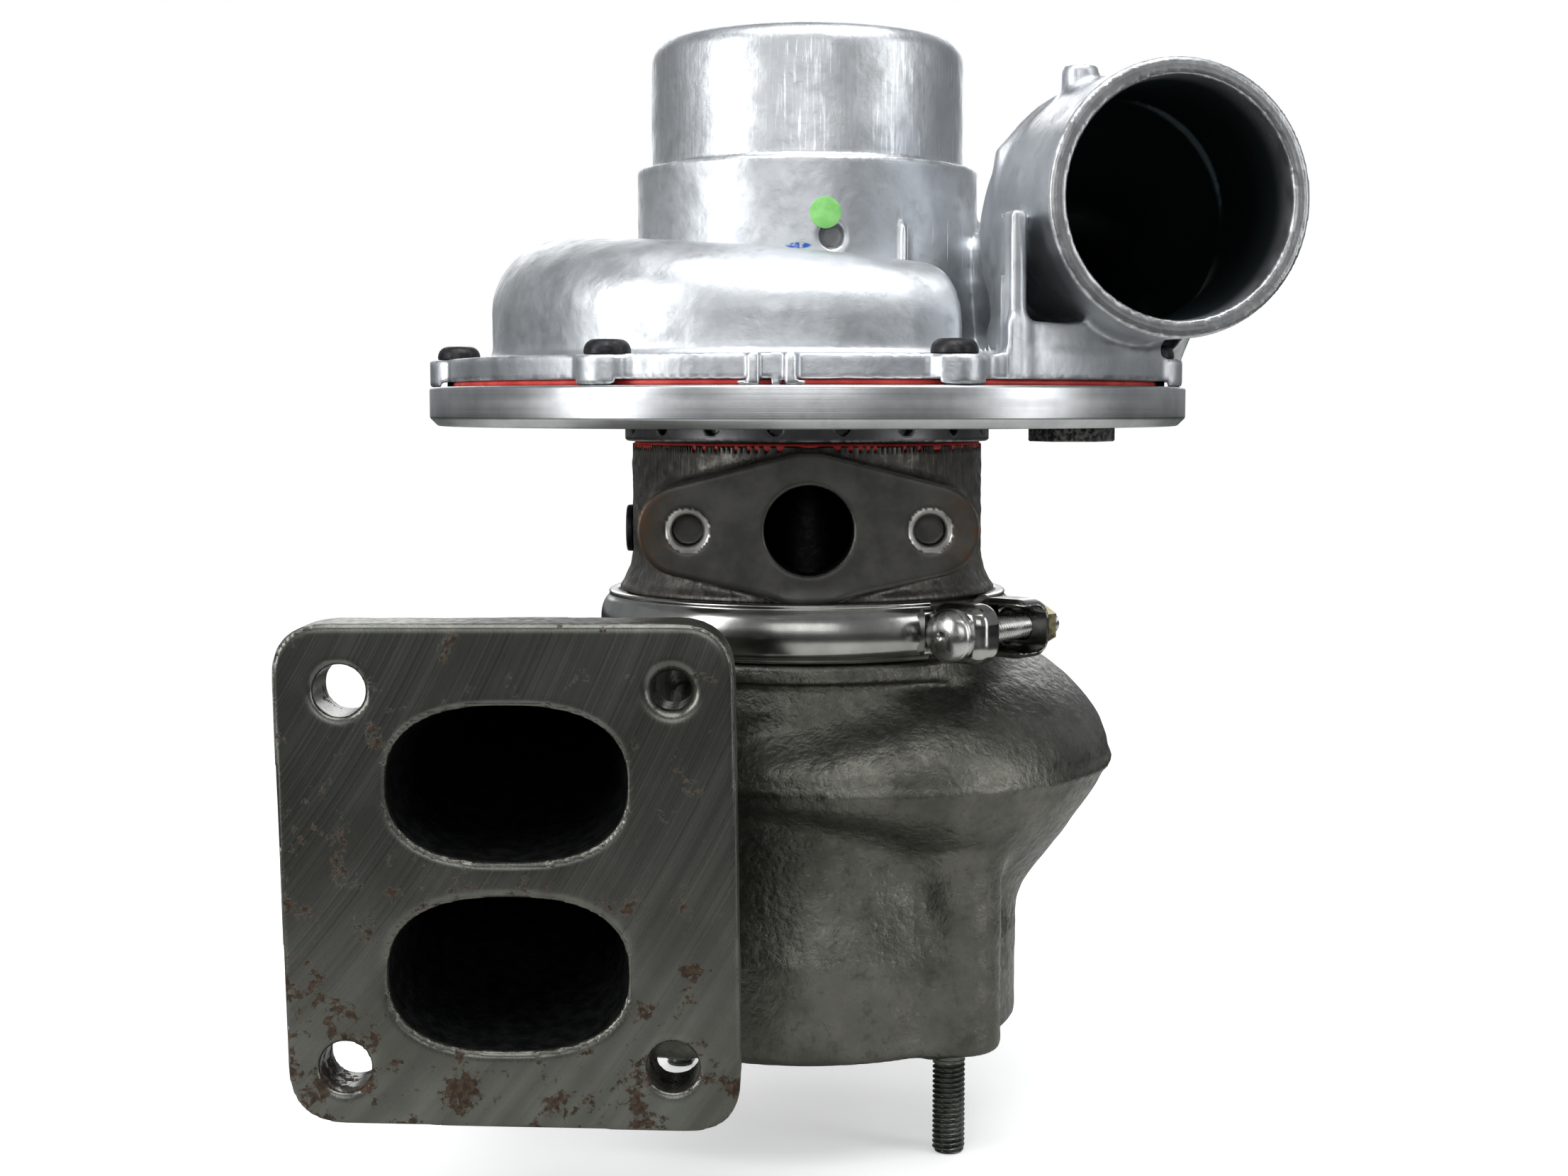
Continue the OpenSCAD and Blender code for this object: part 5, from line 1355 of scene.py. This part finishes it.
build_cover()
build_turbine_housing()
build_bearing_housing()
build_screws()
build_seals()
build_plate()
build_side_plug()
build_clamp()
build_studs()
build_sticker()
build_rotor()
finish_hidden_nodes()


# ---------------------------------------------------------------- stage

def build_stage():
    floor_z = -26.7
    look = Look("floor", (0.8, 0.8, 0.8), 0.0, 0.9)
    grain = look.noise(300, 3)
    look.color = look.mixed(look.steps(grain, 0.3, 0.7), (0.78, 0.78, 0.78), (0.82, 0.82, 0.82))
    far = look.steps(look.vector("LENGTH", look.place), 0.15, 0.75)
    look.bsdf.inputs["Emission Color"].default_value = (1, 1, 1, 1)
    look.link(look.lerp(far, 0.42, 1.0), look.bsdf.inputs["Emission Strength"])
    look.color = look.mixed(far, look.color, (0, 0, 0))
    look.rough = look.lerp(grain, 0.85, 1.0)
    # what the metals see of the floor: pale near the part, dark beyond it
    table = look.node("ShaderNodeBsdfDiffuse")
    distance = look.vector("LENGTH", look.place)
    look.link(look.mixed(look.steps(distance, 0.33, 0.40), (0.62, 0.62, 0.60), (0.05, 0.05, 0.05)), table.inputs[0])
    pick = look.node("ShaderNodeMixShader")
    look.link(look.node("ShaderNodeLightPath").outputs["Is Camera Ray"], pick.inputs[0])
    look.link(table.outputs[0], pick.inputs[1])
    look.link(look.bsdf.outputs[0], pick.inputs[2])
    look.link(pick.outputs[0], look.tree.nodes["Material Output"].inputs[0])
    rings = circle_rows([(r, 0) for r in (0.1, 100, 300, 800, 6000)], 64)
    rings[:, :, 2] = floor_z
    plane = Shape().grid(rings, caps=False)
    mesh = bpy.data.meshes.new("Floor")
    mesh.from_pydata((np.array(plane.v) * MM).tolist(), [], plane.f)
    mesh.flip_normals()
    floor = bpy.data.objects.new("Floor", mesh)
    bpy.context.scene.collection.objects.link(floor)
    mesh.materials.append(look.done())
    floor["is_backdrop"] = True

    camera = bpy.data.cameras.new("Camera")
    camera.lens, camera.sensor_width = 48.82, 36
    camera.clip_start, camera.clip_end = 0.01, 20
    eye = bpy.data.objects.new("Camera", camera)
    eye.location = np.array([-5.83, -545, 156.6]) * MM
    eye.rotation_euler = (math.radians(90 - 4.944), 0, 0)
    bpy.context.scene.collection.objects.link(eye)
    bpy.context.scene.camera = eye

    def softbox(name, place, target, size, power, tint=(1, 1, 1)):
        lamp = bpy.data.lights.new(name, "AREA")
        lamp.shape, lamp.size, lamp.size_y = "RECTANGLE", size[0] * MM, size[1] * MM
        lamp.energy, lamp.color = power, tint
        obj = bpy.data.objects.new(name, lamp)
        obj.location = np.array(place) * MM
        away = Vector(place) - Vector(target)
        obj.rotation_euler = away.to_track_quat("Z", "Y").to_euler()
        obj.visible_camera = False
        bpy.context.scene.collection.objects.link(obj)

    softbox("Top", (60, -250, 900), (0, 0, 120), (900, 700), 8)
    softbox("Left", (-800, -500, 350), (0, 0, 120), (350, 900), 6)
    softbox("Right", (850, -420, 300), (0, 0, 120), (300, 800), 2.6)
    softbox("Front", (-60, -1100, 420), (0, 0, 110), (700, 400), 1.9)
    softbox("Back", (0, 900, 500), (0, 0, 120), (1000, 500), 4)

    world = bpy.data.worlds.new("Studio")
    bpy.context.scene.world = world
    world.use_nodes = True
    tree = world.node_tree
    tree.nodes["Background"].inputs["Color"].default_value = (0.30, 0.31, 0.32, 1)
    tree.nodes["Background"].inputs["Strength"].default_value = 1.0
    white = tree.nodes.new("ShaderNodeBackground")
    white.inputs["Color"].default_value = (1, 1, 1, 1)
    path = tree.nodes.new("ShaderNodeLightPath")
    pick = tree.nodes.new("ShaderNodeMixShader")
    tree.links.new(path.outputs["Is Camera Ray"], pick.inputs[0])
    tree.links.new(tree.nodes["Background"].outputs[0], pick.inputs[1])
    tree.links.new(white.outputs[0], pick.inputs[2])
    tree.links.new(pick.outputs[0], tree.nodes["World Output"].inputs[0])
    bpy.context.scene.view_settings.view_transform = "Standard"


build_stage()
plain = lambda box: [list(corner) for corner in box]
{"cad": plain(cad_box), "visual": plain(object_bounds())}
